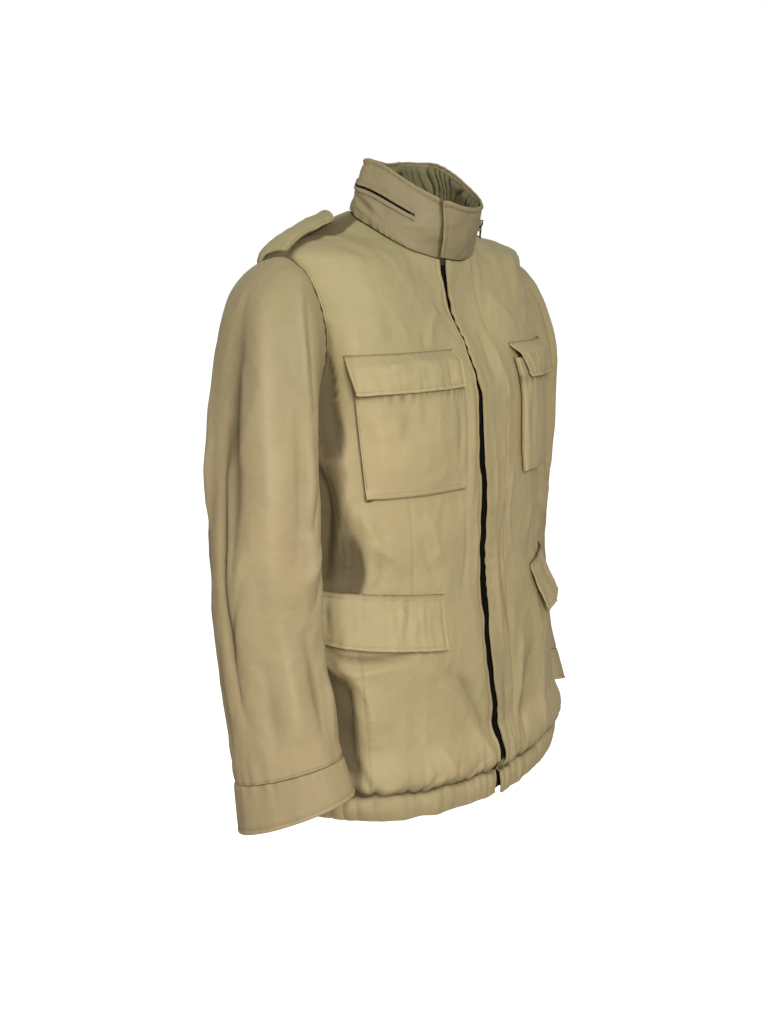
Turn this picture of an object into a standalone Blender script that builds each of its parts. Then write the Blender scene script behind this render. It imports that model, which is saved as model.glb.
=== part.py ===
"""A field-style safari jacket, filled out as worn but with no wearer.

Metres, +Z up. The jacket faces -Y, and the wearer's right is -X. The origin is
midway between the two high shoulder points, where the neck opening meets the
shoulder seams. All the body's cloth lies on one surface, body_point, read by a
turn round the body (degrees from centre front, the wearer's left positive) and
a level (the height of that ring at the side seam).
"""

from collections import namedtuple
import math

import bmesh
import bpy
import numpy as np

# Cloth walls and the gaps between sewn pieces.
WALL = 0.003
TRIM_WALL = 0.002
POCKET_WALL = 0.005
FLAP_WALL = 0.003
GAP = 0.0004

# Levels of the body's seams.
HEM_TOP = -0.711
HEM_BOTTOM = -0.745
SHOULDER_TIP = -0.058
ARMPIT = -0.250

# Centre front: the left front closes over the right, and its edge drifts a little.
Edge = namedtuple("Edge", "level x gape")
# One row for each height of the closure: where the left front's edge lies, and how far
# the right front's edge stays from it.
CLOSURE = (
    Edge(-0.770, -0.0100, 0.0040),
    Edge(-0.600, -0.0110, 0.0052),
    Edge(-0.400, -0.0130, 0.0062),
    Edge(-0.250, -0.0180, 0.0055),
    Edge(-0.150, -0.0230, 0.0026),
    Edge(-0.055, -0.0265, 0.0018),
    Edge(-0.024, -0.0258, 0.0072),
    Edge(0.000, -0.0240, 0.0095),
)
PLACKET_LIFT = 0.0045
PLACKET_REACH = 0.045

Ring = namedtuple(
    "Ring", "side front back half_width front_depth back_depth front_power back_power"
)
# One row for each ring round the body: its height at the side, at centre front and
# at centre back, its half width, its depths before and behind the neck, and how
# square its front and its back are.
BODY = (
    Ring(0.000, -0.0645, -0.006, 0.089, 0.088, 0.045, 2.8, 2.0),
    Ring(-0.014, -0.082, -0.022, 0.126, 0.091, 0.078, 2.4, 2.0),
    Ring(-0.030, -0.104, -0.048, 0.180, 0.094, 0.096, 2.2, 2.1),
    Ring(-0.046, -0.128, -0.076, 0.222, 0.098, 0.107, 2.3, 2.2),
    Ring(-0.080, -0.152, -0.104, 0.237, 0.109, 0.115, 2.4, 2.3),
    Ring(-0.130, -0.180, -0.140, 0.237, 0.124, 0.121, 2.5, 2.3),
    Ring(-0.180, -0.208, -0.184, 0.235, 0.136, 0.126, 2.6, 2.3),
    Ring(-0.230, -0.236, -0.231, 0.234, 0.142, 0.128, 2.6, 2.3),
    Ring(-0.290, -0.290, -0.290, 0.234, 0.144, 0.127, 2.6, 2.3),
    Ring(-0.370, -0.370, -0.370, 0.234, 0.145, 0.123, 2.6, 2.3),
    Ring(-0.447, -0.447, -0.447, 0.235, 0.146, 0.120, 2.6, 2.3),
    Ring(-0.520, -0.520, -0.520, 0.241, 0.154, 0.123, 2.7, 2.3),
    Ring(-0.610, -0.612, -0.611, 0.250, 0.162, 0.130, 2.8, 2.3),
    Ring(-0.685, -0.696, -0.688, 0.255, 0.168, 0.133, 2.8, 2.3),
    Ring(-0.711, -0.727, -0.716, 0.256, 0.171, 0.134, 2.8, 2.3),
    Ring(-0.728, -0.745, -0.733, 0.256, 0.172, 0.134, 2.8, 2.3),
    Ring(-0.745, -0.763, -0.750, 0.251, 0.171, 0.131, 2.8, 2.3),
)

Cuff = namedtuple(
    "Cuff", "outer_x outer_z inner_x inner_z middle_y front_depth back_depth rise turn_in"
)
# One row for each ring of a sleeve below the armhole: its outermost and innermost
# points seen from the front, its middle and its depths before and behind it, how far
# its front edge is lifted, and how many degrees it is turned in towards the body.
SLEEVE = (
    Cuff(0.250, -0.060, 0.243, -0.262, 0.003, 0.064, 0.072, 0.000, 0),
    Cuff(0.273, -0.074, 0.246, -0.284, 0.003, 0.073, 0.078, 0.000, 3),
    Cuff(0.296, -0.110, 0.247, -0.310, 0.002, 0.079, 0.079, 0.000, 8),
    Cuff(0.316, -0.185, 0.247, -0.345, 0.001, 0.080, 0.078, 0.000, 14),
    Cuff(0.331, -0.280, 0.247, -0.395, 0.000, 0.079, 0.075, 0.001, 18),
    Cuff(0.340, -0.370, 0.247, -0.450, 0.000, 0.077, 0.071, 0.002, 20),
    Cuff(0.346, -0.450, 0.248, -0.500, -0.003, 0.073, 0.067, 0.004, 23),
    Cuff(0.348, -0.520, 0.252, -0.545, -0.010, 0.069, 0.063, 0.007, 26),
    Cuff(0.350, -0.590, 0.258, -0.595, -0.022, 0.067, 0.062, 0.011, 29),
    Cuff(0.352, -0.640, 0.264, -0.635, -0.033, 0.067, 0.063, 0.014, 31),
    Cuff(0.353, -0.668, 0.268, -0.658, -0.041, 0.068, 0.065, 0.016, 32),
)
CUFF = (
    Cuff(0.354, -0.669, 0.267, -0.659, -0.041, 0.069, 0.066, 0.016, 32),
    Cuff(0.356, -0.695, 0.267, -0.682, -0.048, 0.071, 0.069, 0.019, 33),
    Cuff(0.358, -0.722, 0.267, -0.706, -0.055, 0.073, 0.072, 0.022, 34),
)
Swing = namedtuple("Swing", "ahead out")
# How far each hand end of the arms hangs ahead and out of the even pose in the tables.
RIGHT_ARM = Swing(0.020, 0.004)
LEFT_ARM = Swing(-0.018, -0.006)
SWING_START, SWING_END = 0.16, 0.72


def between(keys, values, where):
    """Values read smoothly between rows, by a cubic with its slopes from the rows round it."""
    keys = np.asarray(keys, float)
    values = np.asarray(values, float)
    slopes = np.gradient(values, keys)
    where = np.clip(where, keys[0], keys[-1])
    row = np.clip(np.searchsorted(keys, where) - 1, 0, len(keys) - 2)
    step = keys[row + 1] - keys[row]
    t = (where - keys[row]) / step
    return (
        values[row] * (1 + 2 * t) * (1 - t) ** 2
        + slopes[row] * step * t * (1 - t) ** 2
        + values[row + 1] * t * t * (3 - 2 * t)
        + slopes[row + 1] * step * t * t * (t - 1)
    )


def ramp(value, start, end):
    """0 before start, 1 after end and smooth between them."""
    t = np.clip((value - start) / (end - start), 0.0, 1.0)
    return t * t * (3 - 2 * t)


Fold = namedtuple("Fold", "turn level end_turn end_level width rise")
# Broad swells and hollows of the filled body, each along a line on it, for both sides.
FOLDS = (
    Fold(68, -0.545, 44, -0.555, 0.034, 0.007),
    Fold(80, -0.570, 68, -0.650, 0.022, -0.004),
    Fold(66, -0.620, 62, -0.715, 0.024, 0.005),
    Fold(105, -0.300, 150, -0.430, 0.030, 0.004),
    Fold(130, -0.240, 170, -0.330, 0.028, -0.004),
)
DEGREE = 0.0034  # one degree of turn, along the body


RISING = tuple(reversed(BODY))
LEVELS = np.array([ring.side for ring in RISING])


def column(name):
    return np.array([getattr(ring, name) for ring in RISING])


# Near the neck the front falls away from the shoulders in a straighter line than below.
NECK_EASE = 0.15
NECK_DIP = 0.014
NECK_REACH = 0.058


def ring_point(turn, level):
    """The body's smooth form, before any fold or lift."""
    angle = np.radians(turn)
    across, ahead = np.sin(angle), np.cos(angle)
    half_width = between(LEVELS, column("half_width"), level)
    front = between(LEVELS, column("front_depth"), level)
    back = between(LEVELS, column("back_depth"), level)
    front_power = between(LEVELS, column("front_power"), level)
    back_power = between(LEVELS, column("back_power"), level)
    power = np.where(ahead > 0, front_power, back_power)
    depth = np.where(ahead > 0, front, back)
    reach = (np.abs(across / half_width) ** power + np.abs(ahead / depth) ** power) ** (-1 / power)
    side_drop = np.interp(level, LEVELS, column("side"))
    end_drop = np.where(
        ahead > 0,
        between(LEVELS, column("front"), level),
        between(LEVELS, column("back"), level),
    )
    at_neck = 1 - ramp(-level, 0.0, NECK_REACH)
    straight = (np.sqrt(ahead**2 + NECK_EASE**2) - NECK_EASE) / (math.sqrt(1 + NECK_EASE**2) - NECK_EASE)
    fall = ahead**2 + np.where(ahead > 0, at_neck, 0.0) * (straight - ahead**2)
    dip = NECK_DIP * at_neck * ramp(ahead, -0.35, 0.10) * across**2
    height = side_drop + (end_drop - side_drop) * fall - dip
    return np.stack([reach * across, -reach * ahead, height], axis=-1)


def face_out(turn, level):
    """The body's outward normals."""
    turn_step, level_step = 0.2, 0.001
    along = ring_point(turn + turn_step, level) - ring_point(turn - turn_step, level)
    up = ring_point(turn, np.minimum(level + level_step, 0)) - ring_point(turn, level - level_step)
    normal = np.cross(along, up)
    return normal / np.linalg.norm(normal, axis=-1, keepdims=True)


def folds(turn, level):
    """How far the cloth swells out or sinks in here."""
    round_body = np.abs((turn + 180) % 360 - 180)
    total = 0.0 * turn
    for fold in FOLDS:
        start = np.array([fold.turn * DEGREE, fold.level])
        line = np.array([fold.end_turn * DEGREE, fold.end_level]) - start
        offset = np.stack([round_body * DEGREE, level], axis=-1) - start
        along = np.clip((offset @ line) / (line @ line), 0, 1)
        away = np.linalg.norm(offset - along[..., None] * line, axis=-1)
        total = total + fold.rise * np.exp(-((away / fold.width) ** 2))
    return total


def body_point(turn, level, out=0.0):
    """A point that stands out from the body's outer face by this much."""
    turn, level, out = np.broadcast_arrays(turn, level, np.asarray(out, float))
    out = out + folds(turn, level)
    return ring_point(turn, level) + face_out(turn, level) * out[..., None]


def solve(target, value_at, low, high):
    """Where a rising function of one number reaches its target, by halving."""
    target = np.asarray(target, float)
    low, high = np.full(target.shape, low), np.full(target.shape, high)
    for _ in range(40):
        middle = (low + high) / 2
        over = value_at(middle) > target
        high = np.where(over, middle, high)
        low = np.where(over, low, middle)
    return (low + high) / 2


def turn_at(x, level):
    """The turn, on the front, at which the body lies this far from the middle."""
    x, level = np.broadcast_arrays(np.asarray(x, float), level)
    return solve(x, lambda turn: ring_point(turn, level)[..., 0], -89.0, 89.0)


def level_at(turn, height):
    """The level of the ring that is this high at this turn."""
    turn, height = np.broadcast_arrays(np.asarray(turn, float), height)
    return solve(height, lambda level: ring_point(turn, level)[..., 2], HEM_BOTTOM, 0.0)


def shoulder_at(x, y):
    """Turn and level of the shoulder's top over this place."""
    turn = np.degrees(np.arctan2(x, -y))
    reach = np.hypot(x, y)
    level = solve(
        -reach, lambda at: -np.linalg.norm(ring_point(turn, at)[..., :2], axis=-1), -0.075, 0.0
    )
    return turn, level


CLOSURE_LEVELS = [edge.level for edge in CLOSURE]


def left_edge_x(level):
    return between(CLOSURE_LEVELS, [edge.x for edge in CLOSURE], level)


def right_edge_x(level):
    return left_edge_x(level) - between(CLOSURE_LEVELS, [edge.gape for edge in CLOSURE], level)


# The armhole is a loop on the body, read by an angle from the shoulder tip: 90 is its
# front edge, 180 the armpit and 270 its back edge.
ARM_TURN = 90.0
ARM_FRONT = 13.5
ARM_BACK = 17.0
FRONT_SEAM_ANGLE = 140.0
BACK_SEAM_ANGLE = 225.0


def armhole(angle):
    """Turn and level, for the wearer's left, at this angle round the armhole."""
    angle = np.radians(angle)
    reach = np.where(np.sin(angle) > 0, ARM_FRONT, ARM_BACK)
    turn = ARM_TURN - reach * np.sin(angle)
    middle = (SHOULDER_TIP + ARMPIT) / 2
    return turn, middle + (SHOULDER_TIP - ARMPIT) / 2 * np.cos(angle)


FRONT_SEAM_TOP = armhole(FRONT_SEAM_ANGLE)
BACK_SEAM_TOP = armhole(BACK_SEAM_ANGLE)
SEAM_FOOT_TURN = 63.0
BACK_SEAM_FOOT_TURN = 112.0
SEAM_BEND = 1.6
SEAM_ROWS = 11
ARMHOLE_ROWS = 7
SHOULDER_ROWS = 3


def seam_turn(level, top, foot_turn):
    """A panel seam: straight up from the hem, then bending to meet the armhole."""
    share = (level - HEM_TOP) / (top[1] - HEM_TOP)
    return foot_turn + (top[0] - foot_turn) * share**SEAM_BEND


def panel_edge(top, foot_turn, start_angle, end_angle):
    """Turns and levels up one side of a panel: its seam, the armhole and the shoulder seam."""
    seam_levels = np.linspace(HEM_TOP, float(top[1]), SEAM_ROWS + 1)
    seam = np.stack([seam_turn(seam_levels, top, foot_turn), seam_levels], axis=-1)
    round_arm = np.stack(armhole(np.linspace(start_angle, end_angle, ARMHOLE_ROWS + 1)), axis=-1)
    shoulder_levels = np.linspace(SHOULDER_TIP, 0.0, SHOULDER_ROWS + 1)
    shoulder = np.stack([np.full(SHOULDER_ROWS + 1, ARM_TURN), shoulder_levels], axis=-1)
    return np.concatenate([seam, round_arm[1:], shoulder[1:]])


def clear_object_scene():
    for item in list(bpy.data.objects):
        bpy.data.objects.remove(item)


def finish(name, mesh, look):
    """An object of this mesh with a material of its own."""
    item = bpy.data.objects.new(name, mesh)
    bpy.context.scene.collection.objects.link(item)
    material = bpy.data.materials.new(name)
    material.use_nodes = True
    shader = material.node_tree.nodes["Principled BSDF"]
    shader.inputs["Base Color"].default_value = (*look.colour, 1)
    shader.inputs["Roughness"].default_value = look.roughness
    shader.inputs["Metallic"].default_value = look.metallic
    mesh.materials.append(material)
    return item


Look = namedtuple("Look", "colour roughness metallic")
CLOTH = Look((0.36, 0.29, 0.15), 0.72, 0.0)
LINING = Look((0.27, 0.24, 0.12), 0.75, 0.0)
TAPE = Look((0.012, 0.012, 0.011), 0.7, 0.0)
METAL = Look((0.03, 0.03, 0.032), 0.35, 0.8)


def wall(name, outer, inner, look, looped=False):
    """A sheet with thickness: two grids of points, rows by columns, joined round their rims.

    Seen from outside, rows run upwards and columns to the viewer's right.
    """
    rows, columns = outer.shape[:2]
    bm = bmesh.new()
    faces = []
    sheets = [[[bm.verts.new(p) for p in row] for row in grid] for grid in (outer, inner)]
    spans = columns if looped else columns - 1
    for row in range(rows - 1):
        for start in range(spans):
            end = (start + 1) % columns
            front, back = sheets
            faces.append((front[row][start], front[row][end], front[row + 1][end], front[row + 1][start]))
            faces.append((back[row][start], back[row + 1][start], back[row + 1][end], back[row][end]))
    for row, flip in ((0, False), (rows - 1, True)):
        for start in range(spans):
            end = (start + 1) % columns
            rim = [sheets[0][row][start], sheets[1][row][start], sheets[1][row][end], sheets[0][row][end]]
            faces.append(tuple(reversed(rim)) if flip else tuple(rim))
    if not looped:
        for at, flip in ((0, True), (columns - 1, False)):
            for row in range(rows - 1):
                rim = [sheets[0][row][at], sheets[1][row][at], sheets[1][row + 1][at], sheets[0][row + 1][at]]
                faces.append(tuple(reversed(rim)) if flip else tuple(rim))
    for corners in faces:
        bm.faces.new(corners)
    mesh = bpy.data.meshes.new(name)
    bm.to_mesh(mesh)
    bm.free()
    return finish(name, mesh, look)


def placket_lift(turn, level):
    """How far the left front stands out to pass over the right one."""
    past = ring_point(turn, level)[..., 0] - left_edge_x(level)
    return PLACKET_LIFT * (1 - ramp(past, 0.0, PLACKET_REACH))


def inset(edge, side):
    """An edge pulled back from its seam by half a gap; side is +1 or -1 in turn."""
    points = ring_point(edge[:, 0], edge[:, 1])
    reach = np.linalg.norm(points[:, :2], axis=1)
    moved = edge.copy()
    moved[:, 0] += side * np.degrees(GAP / 2 / reach)
    return moved


def mirrored(edge):
    return edge * np.array([-1.0, 1.0])


def ruled(left, right, columns):
    """Turns and levels across a panel, between its left and its right edges."""
    share = np.linspace(0, 1, columns + 1)[None, :, None]
    grid = left[:, None] * (1 - share) + right[:, None] * share
    return grid[..., 0], grid[..., 1]


FRONT_EDGE = panel_edge(FRONT_SEAM_TOP, SEAM_FOOT_TURN, FRONT_SEAM_ANGLE, 0.0)
BACK_EDGE = panel_edge(BACK_SEAM_TOP, BACK_SEAM_FOOT_TURN, BACK_SEAM_ANGLE, 360.0)
FRONT_COLUMNS = 9
BACK_COLUMNS = 12
SIDE_COLUMNS = 6


def centre_edge(edge_x):
    """A front's own edge, at the levels of the panel's other side."""
    levels = FRONT_EDGE[:, 1]
    return np.stack([turn_at(edge_x(levels), levels), levels], axis=-1)


def make_fronts():
    turn, level = ruled(centre_edge(left_edge_x), inset(FRONT_EDGE, -1), FRONT_COLUMNS)
    lift = placket_lift(turn, level)
    wall("left_front", body_point(turn, level, lift), body_point(turn, level, lift - WALL), CLOTH)
    turn, level = ruled(inset(mirrored(FRONT_EDGE), 1), centre_edge(right_edge_x), FRONT_COLUMNS)
    wall("right_front", body_point(turn, level), body_point(turn, level, -WALL), CLOTH)


def make_back():
    left, right = inset(BACK_EDGE, 1), mirrored(BACK_EDGE)
    right[:, 0] += 360
    turn, level = ruled(left, inset(right, -1), BACK_COLUMNS)
    wall("back", body_point(turn, level), body_point(turn, level, -WALL), CLOTH)


def side_grid():
    """Turns and levels over the left side panel, up to the low part of the armhole."""
    angles = np.linspace(FRONT_SEAM_ANGLE, BACK_SEAM_ANGLE, SIDE_COLUMNS + 1)
    top_turn, top_level = armhole(angles)
    share = np.linspace(0, 1, SEAM_ROWS + 1)[:, None]
    level = HEM_TOP + (top_level[None] - HEM_TOP) * share
    across = (top_turn - top_turn[0]) / (top_turn[-1] - top_turn[0])
    low = seam_turn(level, FRONT_SEAM_TOP, SEAM_FOOT_TURN)
    high = seam_turn(level, BACK_SEAM_TOP, BACK_SEAM_FOOT_TURN)
    turn = low + (high - low) * across[None]
    first, last = ring_point(turn[:, 0], level[:, 0]), ring_point(turn[:, -1], level[:, -1])
    turn[:, 0] += np.degrees(GAP / 2 / np.linalg.norm(first[:, :2], axis=1))
    turn[:, -1] -= np.degrees(GAP / 2 / np.linalg.norm(last[:, :2], axis=1))
    return turn, level


def make_sides():
    turn, level = side_grid()
    wall("left_side", body_point(turn, level), body_point(turn, level, -WALL), CLOTH)
    turn, level = -turn[:, ::-1], level[:, ::-1]
    wall("right_side", body_point(turn, level), body_point(turn, level, -WALL), CLOTH)


HEM_COLUMNS = 44
HEM_WALL = 0.004


def make_hem():
    levels = np.array([HEM_BOTTOM, (HEM_BOTTOM + HEM_TOP) / 2, HEM_TOP - GAP])[:, None]
    start = turn_at(left_edge_x(levels), levels)
    end = turn_at(right_edge_x(levels), levels) + 360
    share = np.linspace(0, 1, HEM_COLUMNS + 1)[None]
    turn = start + (end - start) * share
    lift = np.where(turn < 90, placket_lift(np.minimum(turn, 90), levels + 0 * turn), 0.0)
    outer = body_point(turn, levels + 0 * turn, lift)
    inner = body_point(turn, levels + 0 * turn, lift - HEM_WALL)
    wall("hem_band", outer, inner, CLOTH)


FRONT_ARC = np.linspace(0.0, FRONT_SEAM_ANGLE, ARMHOLE_ROWS + 1)
UNDER_ARC = np.linspace(FRONT_SEAM_ANGLE, BACK_SEAM_ANGLE, SIDE_COLUMNS + 1)
BACK_ARC = np.linspace(BACK_SEAM_ANGLE, 360.0, ARMHOLE_ROWS + 1)
# A sleeve's columns start at the corners of the panels round its armhole.
ROUND_SLEEVE = np.concatenate([FRONT_ARC, UNDER_ARC[1:], BACK_ARC[1:-1]])


def sleeve_ring(row, angles, swing):
    """A loop in the plane of the row's outermost and innermost points."""
    angles = np.radians(angles)
    drop = -(row.outer_z + row.inner_z) / 2
    moved = ramp(drop, SWING_START, SWING_END)
    middle_x = (row.outer_x + row.inner_x) / 2 + swing.out * moved
    middle = np.array([middle_x, row.middle_y - swing.ahead * moved, -drop])
    across = np.array([row.outer_x - row.inner_x, 0.0, row.outer_z - row.inner_z]) / 2
    half = np.linalg.norm(across)
    across /= half
    forward = np.array([0.0, -row.front_depth, row.rise])
    forward /= np.linalg.norm(forward)
    turned = math.radians(row.turn_in)
    out = across * math.cos(turned) + forward * math.sin(turned)
    ahead = forward * math.cos(turned) - across * math.sin(turned)
    depth = np.where(np.sin(angles) > 0, row.front_depth, row.back_depth)
    return middle + np.outer(half * np.cos(angles), out) + np.outer(depth * np.sin(angles), ahead)


def grid_normals(grid):
    """Outward normals of a looped grid whose rows go up."""
    along = np.roll(grid, -1, axis=1) - np.roll(grid, 1, axis=1)
    up = np.gradient(grid, axis=0)
    normal = np.cross(along, up)
    return normal / np.linalg.norm(normal, axis=-1, keepdims=True)


def armhole_rim(angles):
    """The sleeve's top edge, outer and inner, a gap inside the armhole's edge."""
    turn, level = armhole(angles)
    outer = body_point(turn, level)
    normal = face_out(turn, level)
    along = np.roll(outer, -1, axis=0) - np.roll(outer, 1, axis=0)
    into = np.cross(along, normal)
    into /= np.linalg.norm(into, axis=-1, keepdims=True)
    middle = outer.mean(axis=0)
    into *= np.sign(((middle - outer) * into).sum(axis=-1, keepdims=True))
    outer = outer + into * GAP
    return outer, outer - normal * WALL


def sleeve_walls(swing):
    """Outer and inner grids of a left sleeve and of its cuff, bottom row first."""
    angles = ROUND_SLEEVE
    rim_outer, rim_inner = armhole_rim(angles)
    rings = [sleeve_ring(row, angles, swing) for row in reversed(SLEEVE)]
    outer = np.stack([*rings, rim_outer])[:, ::-1]
    inner = outer - grid_normals(outer) * WALL
    inner[-1] = rim_inner[::-1]
    cuff_outer = np.stack([sleeve_ring(row, angles, swing) for row in reversed(CUFF)])[:, ::-1]
    cuff_inner = cuff_outer - grid_normals(cuff_outer) * WALL
    return (outer, inner), (cuff_outer, cuff_inner)


def other_side(grid):
    """The mirror image of a grid, its columns turned round so that it still faces out."""
    return grid[:, ::-1] * np.array([-1.0, 1.0, 1.0])


def make_sleeves():
    for name, grids in zip(("sleeve", "cuff"), sleeve_walls(LEFT_ARM)):
        wall("left_" + name, *grids, CLOTH, looped=True)
    for name, grids in zip(("sleeve", "cuff"), sleeve_walls(RIGHT_ARM)):
        wall("right_" + name, *(other_side(grid) for grid in grids), CLOTH, looped=True)


# The collar stands on the neck seam, from its left front end, which passes over the
# right one, round the back of the neck.
COLLAR_TOP = Ring(0.065, 0.003, 0.062, 0.071, 0.112, 0.017, 2.7, 2.1)
COLLAR_START = -22.0
COLLAR_END = 363.0
COLLAR_HEIGHT = 0.075
COLLAR_LIFT = 0.0055
COLLAR_GAP = 0.0009
COLLAR_BULGE = 0.003
# The hood pocket's zip runs round the collar, between two stitched lips.
ZIP_SHARE = 0.53
ZIP_HALF = 0.0014
LIP_INNER, LIP_OUTER = 0.0018, 0.0068
LIP_WALL = 0.0016
ZIP_TAPE_WALL = 0.0010
ZIP_GAP = 0.0010
LIP_SHARE = LIP_OUTER / COLLAR_HEIGHT
# All the collar's strips share these turns and shares, so they lie flat on one another.
COLLAR_TURNS = np.linspace(COLLAR_START, COLLAR_END, 26)
COLLAR_SHARES = np.array([0, 0.2, ZIP_SHARE - LIP_SHARE, ZIP_SHARE + LIP_SHARE, 0.8, 0.93, 1])
LINING_COLUMNS = slice(2, 25)
ZIP_COLUMNS = slice(3, 23)


def collar_lift(turn):
    """How far the collar's left front end stands out over its right one."""
    return COLLAR_LIFT * (1 - ramp(turn, 5.0, 32.0))


def top_edge_point(turn):
    angle = np.radians(turn)
    across, ahead = np.sin(angle), np.cos(angle)
    edge = COLLAR_TOP
    depth = np.where(ahead > 0, edge.front_depth, edge.back_depth)
    power = np.where(ahead > 0, edge.front_power, edge.back_power)
    reach = (np.abs(across / edge.half_width) ** power + np.abs(ahead / depth) ** power) ** (-1 / power)
    end = np.where(ahead > 0, edge.front, edge.back)
    height = edge.side + (end - edge.side) * ahead**2
    return np.stack([reach * across, -reach * ahead, height], axis=-1)


def collar_point(turn, share, out=0.0):
    """A point out from the collar; share runs from 0 at the neck seam to 1 at its top edge."""
    turn, share = np.broadcast_arrays(np.asarray(turn, float), share)
    lift = collar_lift(turn)
    foot = body_point(turn, 0.0 * turn, lift) + np.array([0.0, 0.0, COLLAR_GAP])
    angle = np.radians(turn)
    outward = np.stack([np.sin(angle), -np.cos(angle), 0 * angle], axis=-1)
    top = top_edge_point(turn) + outward * lift[..., None]
    swell = COLLAR_BULGE * np.sin(np.pi * share)
    return foot + (top - foot) * share[..., None] + outward * (swell + out)[..., None]


def collar_band(name, turns, shares, out, thickness, look):
    """A wall that follows the collar between these turns and shares, its face this far out."""
    turn, share = np.broadcast_arrays(turns[None], shares[:, None])
    outer = collar_point(turn, share, out)
    wall(name, outer, collar_point(turn, share, out - thickness), look)


def make_collar():
    collar_band("collar", COLLAR_TURNS, COLLAR_SHARES, 0.0, WALL, CLOTH)
    turns, shares = COLLAR_TURNS[LINING_COLUMNS], COLLAR_SHARES[:-1]
    collar_band("collar_lining", turns, shares, -WALL - GAP, TRIM_WALL, LINING)


def make_collar_zip():
    def strip(name, low, high, thickness, look):
        shares = ZIP_SHARE + np.array([low, high]) / COLLAR_HEIGHT
        collar_band(name, COLLAR_TURNS[ZIP_COLUMNS], shares, ZIP_GAP + thickness, thickness, look)

    strip("collar_zip_tape", -ZIP_HALF, ZIP_HALF, ZIP_TAPE_WALL, TAPE)
    strip("collar_zip_upper_lip", LIP_INNER, LIP_OUTER, LIP_WALL, CLOTH)
    strip("collar_zip_lower_lip", -LIP_OUTER, -LIP_INNER, LIP_WALL, CLOTH)


# The zip's slider, with a bail that holds the pull's crossbar. The pull hangs down, and
# turns about that bar. Sizes run along the zip, up the collar and out from it.
SLIDER_TURN = 33.0
SLIDER_FOOT = 0.0024
SLIDER_SIZE = (0.0080, 0.0090, 0.0026)
BAIL_WIDTH = 0.0020
BAIL_BAR = 0.0012
BAIL_LENGTH = 0.0074
BAIL_RISE = 0.0036
PULL_WIDTH = 0.0058
PULL_LENGTH = 0.0210
PULL_WALL = 0.0012
PULL_RAIL = 0.0012
BAIL_WINDOW = 0.0056
END_WINDOW = 0.0062
END_WINDOW_FROM = 0.0135
BURIED = 0.0006  # how far a joined shape runs into the one it joins


def slider_frame():
    """The slider's foot, and the ways along the zip, up the collar and out of it."""
    step = 0.5
    foot = collar_point(SLIDER_TURN, ZIP_SHARE, SLIDER_FOOT)
    along = collar_point(SLIDER_TURN + step, ZIP_SHARE) - collar_point(SLIDER_TURN - step, ZIP_SHARE)
    up = collar_point(SLIDER_TURN, ZIP_SHARE + 0.1) - collar_point(SLIDER_TURN, ZIP_SHARE - 0.1)
    along /= np.linalg.norm(along)
    up -= along * (up @ along)
    up /= np.linalg.norm(up)
    return foot, along, up, np.cross(along, up)


def block(name, low, high, frame, look=None):
    """A box between two corners given in the slider's own ways."""
    foot, *ways = frame
    bm = bmesh.new()
    bmesh.ops.create_cube(bm, size=1.0)
    low, high = np.array(low), np.array(high)
    for vert in bm.verts:
        place = low + (np.array(vert.co) + 0.5) * (high - low)
        vert.co = foot + sum(size * way for size, way in zip(place, ways))
    mesh = bpy.data.meshes.new(name)
    bm.to_mesh(mesh)
    bm.free()
    if look:
        return finish(name, mesh, look)
    helper = bpy.data.objects.new(name, mesh)
    bpy.context.scene.collection.objects.link(helper)
    helper.hide_render = True
    helper.display_type = "WIRE"
    return helper


def combine(item, other, operation):
    change = item.modifiers.new(other.name, "BOOLEAN")
    change.operation = operation
    change.object = other


def make_slider():
    frame = slider_frame()
    length, height, depth = SLIDER_SIZE
    slider = block(
        "collar_zip_slider", (-length / 2, -height / 2, 0), (length / 2, height / 2, depth), frame, METAL
    )
    half, top = BAIL_WIDTH / 2, depth + BAIL_RISE
    for end in (-1, 1):
        leg = sorted((end * BAIL_LENGTH / 2, end * (BAIL_LENGTH / 2 - BAIL_BAR)))
        post = block(f"bail_post_{end}", (-half, leg[0], depth - BURIED), (half, leg[1], top), frame)
        combine(slider, post, "UNION")
    bar_low = (-half, -BAIL_LENGTH / 2, top - BAIL_BAR)
    bar = block("bail_bar", bar_low, (half, BAIL_LENGTH / 2, top + 0.0001), frame)
    combine(slider, bar, "UNION")


def pull_axis_height():
    return SLIDER_SIZE[2] + (BAIL_RISE - BAIL_BAR) / 2


def make_pull():
    """The pull hangs straight down from its crossbar, where its origin lies."""
    foot, along, _, out = slider_frame()
    hinge = foot + out * pull_axis_height()
    up = np.array([0.0, 0.0, 1.0]) - along * along[2]
    up /= np.linalg.norm(up)
    frame = (np.zeros(3), along, up, np.cross(along, up))
    low = (-PULL_WIDTH / 2, -PULL_LENGTH, -PULL_WALL / 2)
    high = (PULL_WIDTH / 2, PULL_RAIL / 2, PULL_WALL / 2)
    pull = block("collar_zip_pull", low, high, frame, METAL)
    pull.location = hinge
    inside = PULL_WIDTH / 2 - PULL_RAIL
    for name, start, length in (
        ("bail_window", PULL_RAIL / 2, BAIL_WINDOW),
        ("end_window", END_WINDOW_FROM, END_WINDOW),
    ):
        window = block(name, (-inside, -start - length, -PULL_WALL), (inside, -start, PULL_WALL), frame)
        window.parent = pull
        combine(pull, window, "DIFFERENCE")


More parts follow.
